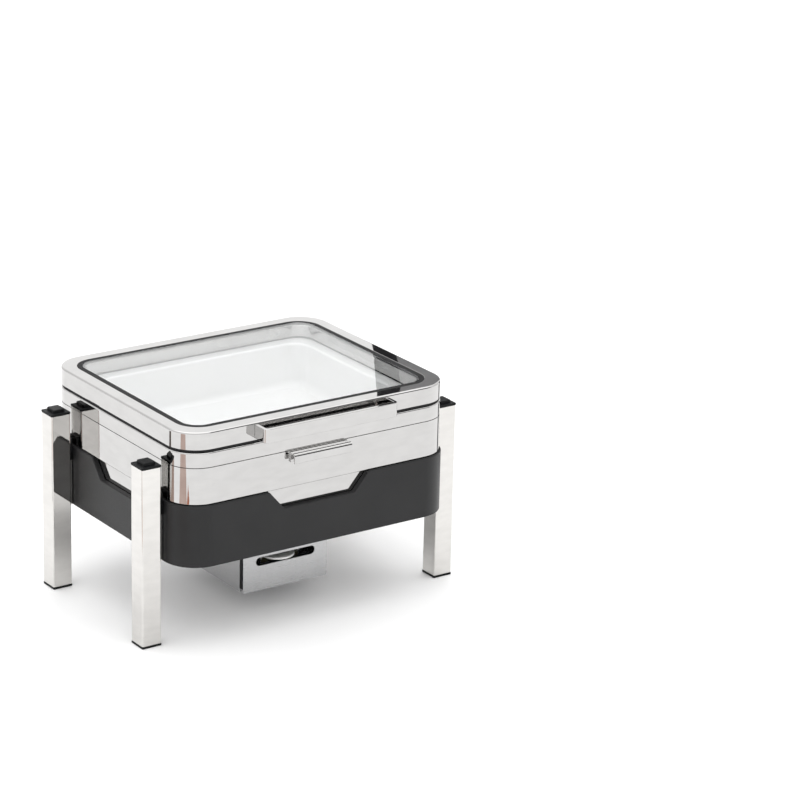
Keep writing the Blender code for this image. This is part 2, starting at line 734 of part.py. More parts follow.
def make_dial():
    """Thumbwheel that stands level in the slot, on a shaft in the thermostat's bush."""
    rim = DIAL_RADIUS - DIAL_EDGE
    profile = [(0, DIAL_TOP), (rim, DIAL_TOP), (DIAL_RADIUS, DIAL_TOP - DIAL_EDGE),
               (DIAL_RADIUS, DIAL_LOW + DIAL_EDGE), (rim, DIAL_LOW), (SHAFT_RADIUS, DIAL_LOW),
               (SHAFT_RADIUS, SHAFT_LOW), (0, SHAFT_LOW)]
    dial = turned("thermostat_dial", profile, WHITE_PLASTIC, 36)
    dial.location = (0, DIAL_Y, 0)
    return dial


def make_cutout():
    """Thermal cut-out: a small switch held up against the underside of the plate."""
    top = PLATE_LOW - GAP
    step = top - CUTOUT_STEP
    profile = [(0, top), (CUTOUT_RADIUS, top), (CUTOUT_RADIUS, step), (CUTOUT_STEM, step),
               (CUTOUT_STEM, step - CUTOUT_STEP), (0, step - CUTOUT_STEP)]
    return turned("thermal_cutout", profile, BLACK, 16)


def make_inlet():
    """Mains inlet in the drawer's rear wall, its socket open to the rear."""
    body = (INLET_HALF_X, INLET_HALF_Z, 2 * MM)
    rim = (INLET_HALF_X + INLET_RIM, INLET_HALF_Z + INLET_RIM, 3 * MM)
    levels = [(*body, 0), (*body, INLET_DEPTH), (*rim, INLET_DEPTH), (*rim, INLET_DEPTH + INLET_RIM_THICK)]
    inlet = stacked_solid("power_inlet", levels, BLACK)
    inlet.rotation_euler = (math.radians(-90), 0, 0)
    inlet.location = (0, DRAWER_BACK + GAP - INLET_DEPTH, INLET_Z)
    mouth = DRAWER_BACK + GAP + INLET_RIM_THICK
    socket_x = INLET_HALF_X - SOCKET_WALL
    socket_z = INLET_HALF_Z - SOCKET_WALL
    socket = box_mesh((-socket_x, mouth - SOCKET_DEPTH, INLET_Z - socket_z),
                      (socket_x, mouth + CUT_PAST, INLET_Z + socket_z))
    cut(inlet, add_cutter("inlet_socket", socket))
    return inlet


# ---------------------------------------------------------------- server

def make_water_tub():
    """Deep tub: its narrow lower wall drops inside the band and its shoulder rests on the band."""
    shoulder = BAND_TOP + GAP
    section = [(TUB_INSET + 11 * MM, TUB_FLOOR), (TUB_INSET + 4 * MM, TUB_FLOOR + 1.3 * MM),
               (TUB_INSET + 1 * MM, TUB_FLOOR + 4.5 * MM), (TUB_INSET, TUB_FLOOR + 11 * MM),
               (TUB_INSET, shoulder), (TUB_WALL, shoulder), (0, shoulder + TUB_WALL), (0, SEAM - GAP)]
    return stepped_shell("water_tub", ring_levels(BODY, section), TUB_WALL, STEEL, floor=True)


def make_top_ring():
    """Collar on the tub: outer wall, wide flat top for the food pan's rim, turned-down inner edge."""
    edge = 1 * MM
    section = [(0, SEAM), (0, RING_TOP - edge), (edge, RING_TOP), (RING_INNER, RING_TOP),
               (RING_INNER, RING_TOP - RING_TURN_DOWN)]
    return stepped_shell("top_ring", ring_levels(BODY, section), SHEET, STEEL)


def make_food_pan():
    """Glazed pan, its wall leaning out a little, hung by its rim on the ring."""
    rim = RING_TOP + GAP
    wall = (PAN_HALF_X, PAN_HALF_Y, PAN_RADIUS)
    section = [(PAN_DRAFT + 6 * MM, PAN_FLOOR), (PAN_DRAFT + 2 * MM, PAN_FLOOR + 2 * MM),
               (PAN_DRAFT, PAN_FLOOR + 7 * MM), (0, rim)]
    levels = ring_levels(wall, section) + [(PAN_RIM_HALF_X, PAN_RIM_HALF_Y, PAN_RADIUS, rim)]
    return stepped_shell("food_pan", levels, PAN_WALL, PORCELAIN, floor=True)


def make_lid_seal():
    """Flat rubber ring on the collar, in the dark joint under the lid."""
    low = RING_TOP + GAP
    high = LID_LOW - GAP
    inner = SEAL_INSET + SEAL_WIDTH
    section = [(SEAL_INSET, low), (SEAL_INSET, high), (inner, high), (inner, low)]
    return ring_solid("lid_seal", BODY, section, RUBBER)


def arc(centre_y, centre_z, radius, start, end, count):
    """Points (y, z) on an arc, angles in degrees from +Y towards +Z."""
    points = []
    for step in range(count + 1):
        angle = math.radians(start + (end - start) * step / count)
        points.append((centre_y + radius * math.cos(angle), centre_z + radius * math.sin(angle)))
    return points


def make_body_handle():
    """Folded ledge on the tub's front: back flange, flat top and a lip turned down at the front."""
    wall = -BODY_HALF_Y - GAP
    front = wall - LEDGE_REACH
    back = wall - LEDGE_SHEET
    under = LEDGE_TOP - LEDGE_SHEET
    low = LEDGE_TOP - LEDGE_LIP
    line = [(wall, LEDGE_TOP), (wall, low), (back, low), (back, under)]
    inner_bend = arc(front + LEDGE_BEND, LEDGE_TOP - LEDGE_BEND, LEDGE_BEND - LEDGE_SHEET, 90, 180, 4)
    outer_bend = arc(front + LEDGE_BEND, LEDGE_TOP - LEDGE_BEND, LEDGE_BEND, 180, 90, 6)
    line += inner_bend + [(front + LEDGE_SHEET, low), (front, low)] + outer_bend
    profile = [(LEDGE_X - LEDGE_HALF, y, z) for y, z in line]
    return extruded("body_handle", profile, (1, 0, 0), 2 * LEDGE_HALF, STEEL)


def make_hinge(hand, side):
    """Fork on the ring's rear wall, the lid's arm between its cheeks, and the pin through both."""
    wall = BODY_HALF_Y + GAP
    middle = side * HINGE_X
    x = middle - HINGE_HALF_WIDTH
    fork_line = [(wall, FORK_TOP), (wall, SEAM + SHEET)]
    fork_line += arc(HINGE_Y, HINGE_Z, CHEEK_RADIUS, -90, 90, 10)
    fork = extruded(f"hinge_fork_{hand}", [(x, y, z) for y, z in fork_line], (1, 0, 0),
                    2 * HINGE_HALF_WIDTH, STEEL)
    room = KNUCKLE_HALF_WIDTH + GAP
    far = 2 * HINGE_HALF_WIDTH
    slot = box_mesh((middle - room, wall + FORK_PLATE, HINGE_Z - far),
                    (middle + room, HINGE_Y + far, HINGE_Z + far))
    cut(fork, add_cutter(f"fork_slot_{hand}", slot))
    bore = rod_mesh((middle, HINGE_Y, HINGE_Z), 'X', PIN_RADIUS + GAP, 2 * far)
    bore_cutter = add_cutter(f"pin_bore_{hand}", bore)
    cut(fork, bore_cutter)

    arm_line = [(wall, ARM_TOP), (wall, LID_INNER_LOW)]
    arm_line += arc(HINGE_Y, HINGE_Z, KNUCKLE_RADIUS, 212, 405, 12)
    arm_line += [(wall + 2 * SHEET, ARM_TOP)]
    arm = extruded(f"hinge_arm_{hand}", [(middle - KNUCKLE_HALF_WIDTH, y, z) for y, z in arm_line],
                   (1, 0, 0), 2 * KNUCKLE_HALF_WIDTH, STEEL)
    cut(arm, bore_cutter)

    reach = HINGE_HALF_WIDTH + GAP
    pin = make_screw(f"hinge_pin_{hand}", PIN_RADIUS, 2 * reach + 1 * MM, PIN_HEAD, 2 * MM)
    pin.rotation_euler = (0, side * math.radians(90), 0)
    pin.location = (middle + side * reach, HINGE_Y, HINGE_Z)
    return fork, arm, pin


# ---------------------------------------------------------------- lid

def make_lid_frame():
    """Folded lid frame: outer wall, flat rim, seat for gasket and glass, inner wall under the glass."""
    fold = LID_EDGE * (1 - math.sqrt(0.5))
    outer = [(0, LID_LOW), (0, LID_TOP - LID_EDGE), (fold, LID_TOP - fold), (LID_EDGE, LID_TOP)]
    inner = [(0, LID_TOP), (0, LID_SEAT_Z), (LID_SEAT, LID_SEAT_Z), (LID_SEAT, LID_INNER_LOW)]
    levels = ring_levels(BODY, outer) + ring_levels(LID_HOLE, inner)
    frame = stepped_shell("lid_frame", levels, SHEET, STEEL)
    for hand, side in (("left", -1), ("right", 1)):
        middle = (side * (HANDLE_HALF - HANDLE_THICK / 2), -BODY_HALF_Y, HANDLE_SCREW_Z)
        hole = rod_mesh(middle, 'Y', HANDLE_SCREW_RADIUS + GAP, 3 * SHEET)
        cut(frame, add_cutter(f"lid_hole_{hand}", hole))
    return frame


def make_gasket():
    """Black gasket round the glass, with a thin lip under the glass's edge."""
    inner = GAP + GASKET_WIDTH
    lip = LID_SEAT - GAP
    shelf = LID_SEAT_Z + GAP
    under = LID_TOP - GLASS - GAP
    section = [(GAP, shelf), (GAP, LID_TOP), (inner, LID_TOP), (inner, under), (lip, under), (lip, shelf)]
    return ring_solid("glass_gasket", LID_HOLE, section, RUBBER)


def make_glass():
    edge = inset(LID_HOLE, 2 * GAP + GASKET_WIDTH)
    levels = plate_levels(*edge, LID_TOP - GLASS, LID_TOP)
    return stacked_solid("lid_glass", levels, GLASS_CLEAR, CORNER_STEPS)


def handle_bend(depth):
    """Half of the handle's line (x, y), a depth inside its outer face, from the wall to the front."""
    radius = HANDLE_BEND - depth
    edge_x = HANDLE_HALF - depth
    front = -BODY_HALF_Y - HANDLE_REACH + depth
    bend = [(edge_x, -BODY_HALF_Y - GAP)]
    for step in range(6):
        angle = math.radians(90) * step / 5
        bend.append((edge_x - radius * (1 - math.cos(angle)), front + radius * (1 - math.sin(angle))))
    return bend


def make_lid_handle():
    """Flat bar bent into a wide U that stands off the lid's front wall."""
    wall = -BODY_HALF_Y - GAP
    outer = handle_bend(0)
    inner = handle_bend(HANDLE_THICK)
    mirrored_outer = [(-x, y) for x, y in reversed(outer)]
    mirrored_inner = [(-x, y) for x, y in inner]
    line = outer + mirrored_outer + mirrored_inner + list(reversed(inner))
    profile = [(x, y, HANDLE_LOW) for x, y in line]
    handle = extruded("lid_handle", profile, (0, 0, 1), HANDLE_TOP - HANDLE_LOW, STEEL)
    for hand, side in (("left", -1), ("right", 1)):
        middle = (side * (HANDLE_HALF - HANDLE_THICK / 2), wall, HANDLE_SCREW_Z)
        hole = rod_mesh(middle, 'Y', HANDLE_SCREW_RADIUS + GAP, 2 * HANDLE_SCREW_LENGTH)
        cut(handle, add_cutter(f"handle_hole_{hand}", hole))
    return handle


def make_handle_screw(hand, side):
    """Screw from inside the lid frame into the end of the handle."""
    seat = -BODY_HALF_Y + SHEET + GAP
    screw = make_screw(f"lid_handle_screw_{hand}", HANDLE_SCREW_RADIUS, HANDLE_SCREW_LENGTH,
                       HANDLE_SCREW_HEAD, 2.2 * MM)
    screw.rotation_euler = (math.radians(-90), 0, 0)
    screw.location = (side * (HANDLE_HALF - HANDLE_THICK / 2), seat, HANDLE_SCREW_Z)
    return screw


# ---------------------------------------------------------------- assembly

clear_scene()
PARTS = new_collection("electric_buffet_server")
CUTTERS = new_collection("cutters")

STEEL = new_material("polished_stainless_steel", (0.80, 0.79, 0.78), 0.08, 1.0)
SATIN_STEEL = new_material("satin_stainless_steel", (0.55, 0.55, 0.55), 0.25, 1.0)
BRIGHT_STEEL = new_material("bright_steel", (0.70, 0.70, 0.70), 0.2, 1.0)
PAINT = new_material("satin_black_paint", (0.045, 0.045, 0.048), 0.4)
BLACK = new_material("black_moulded_plastic", (0.013, 0.014, 0.015), 0.45)
RUBBER = new_material("black_rubber", (0.02, 0.02, 0.02), 0.6)
GLASS_CLEAR = new_material("toughened_glass", (0.9, 0.95, 0.93), 0.02, 0.0, 0.3)
PORCELAIN = new_material("glazed_porcelain", (0.87, 0.87, 0.85), 0.12)
CAST_ALUMINIUM = new_material("cast_aluminium", (0.45, 0.45, 0.46), 0.45, 1.0)
CREAM_PLASTIC = new_material("thermoset_plastic", (0.62, 0.56, 0.42), 0.5)
WHITE_PLASTIC = new_material("white_moulded_plastic", (0.80, 0.80, 0.78), 0.4)
SILICONE = new_material("silicone_sleeving", (0.55, 0.12, 0.07), 0.5)

for leg_name, leg_x, leg_y in leg_places():
    make_leg(leg_name, leg_x, leg_y)
    make_stacking_cap(leg_name, leg_x, leg_y)
    make_foot_cap(leg_name, leg_x, leg_y)
    make_leg_fixing(leg_name, leg_x, leg_y)
make_band()
for hand_name, hand_side in (("left", -1), ("right", 1)):
    make_crossbar(hand_name, hand_side)
make_heater_box()

drawer_slide = joint_empty("heater_drawer_slide", (0, DRAWER_FRONT, SLOT_Z))
hang(drawer_slide, make_drawer_tray(), make_drawer_front(), make_front_insulator(), make_heating_plate(),
     tube_along("heating_element", element_line(), ELEMENT_RADIUS, BRIGHT_STEEL),
     make_thermostat_bracket(), *make_thermostat(), make_cutout(), make_inlet(), *make_leads())
make_dial()

body_lift = joint_empty("body_lift", (0, 0, BAND_TOP))
hang(body_lift, make_water_tub(), make_top_ring(), make_food_pan(), make_lid_seal(), make_body_handle())

lid_hinge = joint_empty("lid_hinge", (0, HINGE_Y, HINGE_Z))
hang(lid_hinge, make_lid_frame(), make_gasket(), make_glass(), make_lid_handle())
for hand_name, hand_side in (("left", -1), ("right", 1)):
    hinge_fork, hinge_arm, hinge_pin = make_hinge(hand_name, hand_side)
    hang(body_lift, hinge_fork, hinge_pin)
    hang(lid_hinge, hinge_arm, make_handle_screw(hand_name, hand_side))
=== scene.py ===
"""Looks of an electric buffet server: polished steel body with a glass lid, in a stacking stand."""

import math

import bmesh
import bpy
import numpy as np
from mathutils import Matrix, Vector


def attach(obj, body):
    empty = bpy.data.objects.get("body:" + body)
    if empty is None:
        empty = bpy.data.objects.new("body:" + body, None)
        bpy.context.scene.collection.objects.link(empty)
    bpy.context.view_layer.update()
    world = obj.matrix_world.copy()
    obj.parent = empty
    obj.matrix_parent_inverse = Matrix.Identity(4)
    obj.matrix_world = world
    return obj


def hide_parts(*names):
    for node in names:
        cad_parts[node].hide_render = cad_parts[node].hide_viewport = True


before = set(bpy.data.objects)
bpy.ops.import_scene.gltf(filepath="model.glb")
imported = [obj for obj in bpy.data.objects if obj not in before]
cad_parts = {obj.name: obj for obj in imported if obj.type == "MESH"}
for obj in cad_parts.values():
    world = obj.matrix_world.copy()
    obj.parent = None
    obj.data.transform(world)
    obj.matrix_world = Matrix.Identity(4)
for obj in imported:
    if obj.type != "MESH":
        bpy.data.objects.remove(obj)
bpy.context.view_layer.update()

MM = 0.001
GAP = 0.3 * MM               # between pieces that touch
SEAM_GROOVE = 0.5 * MM       # how far the edges stop short of the seam's middle
LEAST_RADIUS = 1.0 * MM      # corner radius of an outline drawn in past its own radius
ALMOST_SHARP = 0.2 * MM      # smallest corner radius an outline may have
JOINED = 0.005 * MM          # points closer than this are one point
FLAT_WITHIN = math.radians(1)  # angle by which triangles of one flat face may differ
CORNER = 20                  # steps round a quarter of an outline
BEND = 6                     # steps round a fold or a softened edge

# Outlines: half length, half width, corner radius
BODY = (220 * MM, 183.5 * MM, 45 * MM)
BAND = (223 * MM, 186.5 * MM, 48 * MM)
HOLE = (200.5 * MM, 164 * MM, 34 * MM)       # the opening in the lid's rim
LEG_PLACES = {
    "front_left": (-243.5 * MM, -124 * MM), "front_right": (243.5 * MM, -124 * MM),
    "rear_left": (-243.5 * MM, 124 * MM), "rear_right": (243.5 * MM, 124 * MM),
}
SIDES = {"left": -1, "right": 1}

# Heights
BAND_LOW, BAND_TOP = 121.6 * MM, 210.4 * MM
TUB_FLOOR = 126 * MM
SEAM = 264 * MM
RING_TOP = 285.5 * MM
LID_LOW, LID_TOP = 290 * MM, 315 * MM

# Dips in the band: depth, run of a sloping end, half the flat bottom and middle of the front and side ones
DIP_DEPTH, DIP_RUN = 27 * MM, 23.5 * MM
FRONT_DIP_HALF, FRONT_DIP_X = 58 * MM, -4 * MM
SIDE_DIP_HALF, SIDE_DIP_Y = 45 * MM, -9 * MM

# Panel and lid edges
HANDLE_WALL = -183.8 * MM    # where the handles meet the body
SHEET = 1.5 * MM             # thickness of the collar and the lid frame

# Legs, as measured from their outer faces
LEG = (15 * MM, 15 * MM, 2 * MM)
LEG_TOP = 260 * MM
CAP = (15.3 * MM, 15.3 * MM, 1.6 * MM)
PLUG = (13.2 * MM, 13.2 * MM, 1 * MM)

# Heater box, drawer front and the slot in it
BAR_X, BAR_WIDTH = 85 * MM, 25 * MM
BOX_HALF_X, BOX_LOW = 70 * MM, 25 * MM
BOX_SHEET = 1.2 * MM
SLOT_Z, SLOT_HALF, SLOT_HEIGHT = 68.5 * MM, 49 * MM, 12.5 * MM


# ---------------------------------------------------------------- surfaces

def filleted(corners, radius, closed=False, steps=BEND):
    """A line with rounded corners, as an array of points.

    At each corner P, with unit vectors u and v to its neighbours and half angle h between them, the arc's
    centre is P + r / sin h along u + v, and the arc turns from the point r / tan h along u to the one
    along v: start x sin((1 - w) t) / sin t + end x sin(w t) / sin t, for w from 0 to 1 and t = 180 - 2h.
    """
    corners = np.asarray(corners, float)
    radius = np.broadcast_to(np.asarray(radius, float), (len(corners),))
    before, after = np.roll(corners, 1, 0), np.roll(corners, -1, 0)
    inner = slice(None) if closed else slice(1, -1)
    p, r = corners[inner], radius[inner, None]
    u, v = before[inner] - p, after[inner] - p
    u, v = u / np.linalg.norm(u, axis=1)[:, None], v / np.linalg.norm(v, axis=1)[:, None]
    half = np.arccos(np.clip((u * v).sum(1), -1, 1))[:, None] / 2
    along = (u + v) / np.linalg.norm(u + v, axis=1)[:, None]
    centre = p + along * r / np.sin(half)
    start, end = p + u * r / np.tan(half) - centre, p + v * r / np.tan(half) - centre
    turn = (math.pi - 2 * half)[:, None]
    w = np.linspace(0, 1, steps + 1)[None, :, None]
    turned = np.sin((1 - w) * turn) * start[:, None] + np.sin(w * turn) * end[:, None]
    arcs = centre[:, None] + turned / np.sin(turn)
    line = arcs.reshape(-1, corners.shape[1])
    return line if closed else np.concatenate([corners[:1], line, corners[-1:]])


def sheet_section(corners, bend, thickness):
    """Closed section of a folded sheet: its outer line with rounded folds, and back along the same line
    moved by the sheet's thickness to the right of its direction."""
    line = filleted(corners, bend)
    steps = np.diff(line, axis=0)
    steps /= np.linalg.norm(steps, axis=1)[:, None]
    tangent = np.concatenate([steps[:1], steps[:-1] + steps[1:], steps[-1:]])
    tangent /= np.linalg.norm(tangent, axis=1)[:, None]
    right = np.stack([tangent[:, 1], -tangent[:, 0]], 1)
    return np.concatenate([line, (line + right * thickness)[::-1]])


def outline_rows(levels):
    """Rounded rectangles, one for each level (half length, half width, radius, z), as a grid of points.

    Round the outline a point is corner centre + radius x (cos a, sin a), with a running through the four
    quarter turns from the front right corner anticlockwise. Along the grid's other side the level changes.
    """
    half_x, half_y, radius, z = np.asarray(levels, float).T
    radius = np.maximum(radius, ALMOST_SHARP)
    quarter = np.linspace(0, math.pi / 2, CORNER + 1)
    angle = (np.arange(4)[:, None] * math.pi / 2 - math.pi / 2 + quarter).reshape(-1, 1)
    side_x = np.repeat([1, 1, -1, -1], CORNER + 1)[:, None]
    side_y = np.repeat([-1, 1, 1, -1], CORNER + 1)[:, None]
    x = side_x * (half_x - radius) + radius * np.cos(angle)
    y = side_y * (half_y - radius) + radius * np.sin(angle)
    return np.stack([x, y, np.broadcast_to(z, x.shape)], -1)


def levels_of(base, section):
    """Levels for a section of (depth, z) points: the outline of base drawn in by each depth."""
    section = np.asarray(section, float)
    depth, z = section.T
    half_x, half_y, radius = base
    inner = np.maximum(radius - depth, LEAST_RADIUS)
    return np.stack([half_x - depth, half_y - depth, inner, z], 1)


def grid_mesh(name, grid, close_rows=True, close_columns=True, caps=False):
    """Mesh of a grid of points: a quad between each point and its neighbours on the next row and column.
    Caps close the first and last column with one face each."""
    rows, columns = grid.shape[:2]
    i = np.arange(rows if close_rows else rows - 1)[:, None]
    j = np.arange(columns if close_columns else columns - 1)[None, :]
    next_i, next_j = (i + 1) % rows, (j + 1) % columns
    quads = np.stack([i * columns + j, next_i * columns + j,
                      next_i * columns + next_j, i * columns + next_j], -1)
    faces = quads.reshape(-1, 4).tolist()
    if caps:
        faces.append((np.arange(rows)[::-1] * columns).tolist())
        faces.append((np.arange(rows) * columns + columns - 1).tolist())
    mesh = bpy.data.meshes.new(name)
    mesh.from_pydata(grid.reshape(-1, 3).tolist(), [], faces)
    mesh.update()
    return mesh


def piece(name, mesh, material, body, nodes, sharp=35, edges=0.0):
    """Put a finished mesh into the scene for the CAD nodes it stands for, its faces pointing outwards."""
    joined = bmesh.new()
    joined.from_mesh(mesh)
    bmesh.ops.remove_doubles(joined, verts=joined.verts, dist=JOINED)
    bmesh.ops.recalc_face_normals(joined, faces=joined.faces)
    joined.to_mesh(mesh)
    joined.free()
    mesh.shade_smooth()
    mesh.set_sharp_from_angle(angle=math.radians(sharp))
    mesh.materials.clear()
    mesh.materials.append(material)
    made = bpy.data.objects.new(name, mesh)
    bpy.context.scene.collection.objects.link(made)
    if edges:
        bevel = made.modifiers.new("softened edges", 'BEVEL')
        bevel.width = edges
        bevel.segments = 3
        bevel.limit_method = 'ANGLE'
        bevel.angle_limit = math.radians(sharp)
        bevel.harden_normals = True
    weighted = made.modifiers.new("flat faces stay flat", 'WEIGHTED_NORMAL')
    weighted.keep_sharp = True
    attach(made, body)
    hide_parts(*nodes)
    return made


def softened(node, material, body, edges, sharp=30):
    """Copy of a small CAD node with its triangles joined, flat faces made whole and edges softened."""
    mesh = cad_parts[node].data.copy()
    merged = bmesh.new()
    merged.from_mesh(mesh)
    bmesh.ops.remove_doubles(merged, verts=merged.verts, dist=JOINED)
    bmesh.ops.dissolve_limit(merged, angle_limit=FLAT_WITHIN, verts=merged.verts, edges=merged.edges)
    merged.to_mesh(mesh)
    merged.free()
    return piece(node + "_finished", mesh, material, body, [node], sharp, edges)


def moved(grid, x, y):
    """Grid moved level by x and y."""
    return grid + np.array([x, y, 0.0])


def extruded(section, plane, start, end):
    """Closed section pushed straight: its two coordinates lie on the axes named by plane, and the third
    runs from start to end."""
    grid = np.zeros((len(section), 2, 3))
    third = 3 - sum(plane)
    grid[:, :, plane[0]] = section[:, None, 0]
    grid[:, :, plane[1]] = section[:, None, 1]
    grid[:, :, third] = np.array([start, end])
    return grid


def carried(profile, path):
    """Closed profile of (across, up) points carried along a level path of (x, y) points.

    Each point is the path's point + across x the path's normal + up x Z.
    """
    steps = np.diff(path, axis=0)
    steps /= np.linalg.norm(steps, axis=1)[:, None]
    tangent = np.concatenate([steps[:1], steps[:-1] + steps[1:], steps[-1:]])
    tangent /= np.linalg.norm(tangent, axis=1)[:, None]
    normal = np.stack([-tangent[:, 1], tangent[:, 0]], 1)
    flat = path[None, :, :] + profile[:, None, :1] * normal[None]
    up = np.broadcast_to(profile[:, None, 1:], flat.shape[:2] + (1,))
    return np.concatenate([flat, up], -1)


# ---------------------------------------------------------------- materials

TINT_SPAN = (0.35, 0.65)     # noise values at which the two colours are reached
ROUGH_SPAN = (0.3, 0.7)      # noise values at which the two roughnesses are reached


def linear(code):
    """sRGB hex code to the linear values that Blender's sockets take."""
    value = np.array([int(code[k:k + 2], 16) for k in (1, 3, 5)]) / 255
    low = value / 12.92
    high = ((value + 0.055) / 1.055) ** 2.4
    return (*np.where(value <= 0.04045, low, high).tolist(), 1.0)


def add(tree, kind, settings=None, **links):
    """Add a node, set its properties and unlinked sockets, and link sockets given as (node, output).
    A link's key is the socket's name, or the letter i and the socket's number."""
    node = tree.nodes.new(kind)
    for key, value in (settings or {}).items():
        if isinstance(key, str) and hasattr(node, key):
            setattr(node, key, value)
        else:
            node.inputs[key].default_value = value
    for key, (source, output) in links.items():
        numbered = key[0] == "i" and key[1:].isdigit()
        socket = node.inputs[int(key[1:]) if numbered else key.replace("_", " ")]
        tree.links.new(source.outputs[output], socket)
    return node


def new_material(name, **sockets):
    """A material with a Principled shader whose uniform values are on its own sockets."""
    material = bpy.data.materials.new(name)
    material.use_nodes = True
    shader = material.node_tree.nodes["Principled BSDF"]
    for key, value in sockets.items():
        shader.inputs[key.replace("_", " ")].default_value = value
    return material, material.node_tree, shader


def grained(tree, stretch, size, detail=3.0):
    """Noise whose grain is size metres long, squeezed by the factors in stretch along X, Y and Z."""
    place = add(tree, "ShaderNodeTexCoord")
    squeeze = add(tree, "ShaderNodeMapping", {"Scale": stretch}, Vector=(place, "Object"))
    return add(tree, "ShaderNodeTexNoise", {"Scale": 1 / size, "Detail": detail}, Vector=(squeeze, "Vector"))


def tinted(tree, shader, noise, first, second):
    """Let the noise vary the base colour between two hex colours."""
    ramp = add(tree, "ShaderNodeValToRGB", {}, Fac=(noise, "Fac"))
    for stop, position, code in zip(ramp.color_ramp.elements, TINT_SPAN, (first, second)):
        stop.position = position
        stop.color = linear(code)
    tree.links.new(ramp.outputs["Color"], shader.inputs["Base Color"])


def roughened(tree, shader, noise, low, high):
    """Let the noise vary the roughness between two values."""
    ends = {"From Min": ROUGH_SPAN[0], "From Max": ROUGH_SPAN[1], "To Min": low, "To Max": high}
    span = add(tree, "ShaderNodeMapRange", ends, Value=(noise, "Fac"))
    tree.links.new(span.outputs["Result"], shader.inputs["Roughness"])


def embossed(tree, shader, noise, height):
    """Raise the surface by up to height metres with the noise."""
    bump = add(tree, "ShaderNodeBump", {"Strength": 1.0, "Distance": height}, Height=(noise, "Fac"))
    tree.links.new(bump.outputs["Normal"], shader.inputs["Normal"])


def mirror_stainless(name, wave, colours):
    """Stainless sheet, buffed to a mirror. The eye gets clear reflections that wander a little, because the
    pressed sheet is never quite flat over 50 mm, and a faint haze from the last buffing."""
    material, tree, shader = new_material(name, Metallic=1.0)
    haze = grained(tree, (1, 1, 3), 30 * MM)
    tinted(tree, shader, haze, *colours)
    roughened(tree, shader, grained(tree, (1, 1, 8), 12 * MM), 0.02, 0.05)
    embossed(tree, shader, grained(tree, (1, 1, 0.6), 50 * MM, 1.0), wave)
    return material


def satin_stainless():
    """Stainless sheet rubbed with a 180-grit belt. The lines are about 0.1 mm apart, drawn 0.4 mm apart so
    that they just show; the eye gets a soft grey gradient and a faint grain along X."""
    material, tree, shader = new_material("satin_stainless_sheet", Metallic=1.0, Anisotropic=0.4)
    lines = grained(tree, (0.02, 0.6, 1), 0.4 * MM)
    tinted(tree, shader, lines, "#b9b9ba", "#bfbfc0")
    roughened(tree, shader, lines, 0.24, 0.3)
    embossed(tree, shader, lines, 0.002 * MM)
    return material


def powder_coat():
    """Steel with a satin charcoal powder coat, baked on. Its orange peel is about 1.5 mm from bump to bump;
    the eye gets an even charcoal with a wide soft sheen."""
    material, tree, shader = new_material("charcoal_powder_coat", Specular_IOR_Level=0.3)
    tinted(tree, shader, grained(tree, (1, 1, 1), 60 * MM), "#1b1b1c", "#1f1f20")
    peel = grained(tree, (1, 1, 1), 1.5 * MM, 1.0)
    roughened(tree, shader, peel, 0.36, 0.44)
    embossed(tree, shader, peel, 0.012 * MM)
    return material


def moulded_polyamide():
    """Black polyamide, injection moulded in a spark-eroded mould. The grain is about 0.4 mm, drawn at 0.8 mm;
    the eye gets a dull black with soft light edges."""
    material, tree, shader = new_material("moulded_black_polyamide", Specular_IOR_Level=0.15)
    grain = grained(tree, (1, 1, 1), 0.8 * MM)
    tinted(tree, shader, grain, "#101112", "#161718")
    roughened(tree, shader, grain, 0.38, 0.52)
    embossed(tree, shader, grain, 0.02 * MM)
    return material


def extruded_rubber():
    """Black EPDM rubber, extruded. It gives the eye a matt dark line, dusted unevenly about every 8 mm."""
    material, tree, shader = new_material("extruded_epdm_rubber", Specular_IOR_Level=0.12)
    dust = grained(tree, (1, 1, 1), 8 * MM)
    tinted(tree, shader, dust, "#1c1c1d", "#232324")
    roughened(tree, shader, dust, 0.5, 0.65)
    return material


def toughened_glass():
    """Float glass, toughened, 4 mm. It is clear, with waves from the furnace rollers about 80 mm apart."""
    material, tree, shader = new_material("toughened_float_glass", Roughness=0.0, IOR=1.52,
                                          Transmission_Weight=1.0, Base_Color=linear("#feffff"))
    embossed(tree, shader, grained(tree, (1, 0.3, 1), 80 * MM, 0.0), 0.01 * MM)
    return material


def glazed_porcelain():
    """White hotel porcelain under a clear glaze. The glaze pools softly over 25 mm; the eye gets a bright
    white with a wet shine."""
    material, tree, shader = new_material("glazed_porcelain", IOR=1.5, Coat_Weight=0.3, Coat_Roughness=0.05)
    pool = grained(tree, (1, 1, 1), 25 * MM, 1.0)
    tinted(tree, shader, pool, "#fdfdfc", "#fefefe")
    roughened(tree, shader, pool, 0.1, 0.2)
    embossed(tree, shader, pool, 0.05 * MM)
    return material


def cast_aluminium():
    """Sand-cast aluminium with its skin left on. The sand leaves pits of about 0.5 mm, drawn at 1.2 mm; the
    eye gets a dull, mottled light grey."""
    material, tree, shader = new_material("cast_aluminium", Metallic=1.0)
    pits = grained(tree, (1, 1, 1), 1.2 * MM)
    tinted(tree, shader, grained(tree, (1, 1, 1), 14 * MM), "#9a9a9b", "#b2b2b3")
    roughened(tree, shader, pits, 0.4, 0.6)
    embossed(tree, shader, pits, 0.08 * MM)
    return material


def turned_steel():
    """Zinc-plated steel, turned and barrel polished. The eye gets a bright metal with scratches about 1 mm
    apart."""
    material, tree, shader = new_material("turned_zinc_plated_steel", Metallic=1.0)
    scratches = grained(tree, (1, 0.1, 1), 1 * MM)
    tinted(tree, shader, scratches, "#c6c6c8", "#d2d2d3")
    roughened(tree, shader, scratches, 0.16, 0.26)
    return material


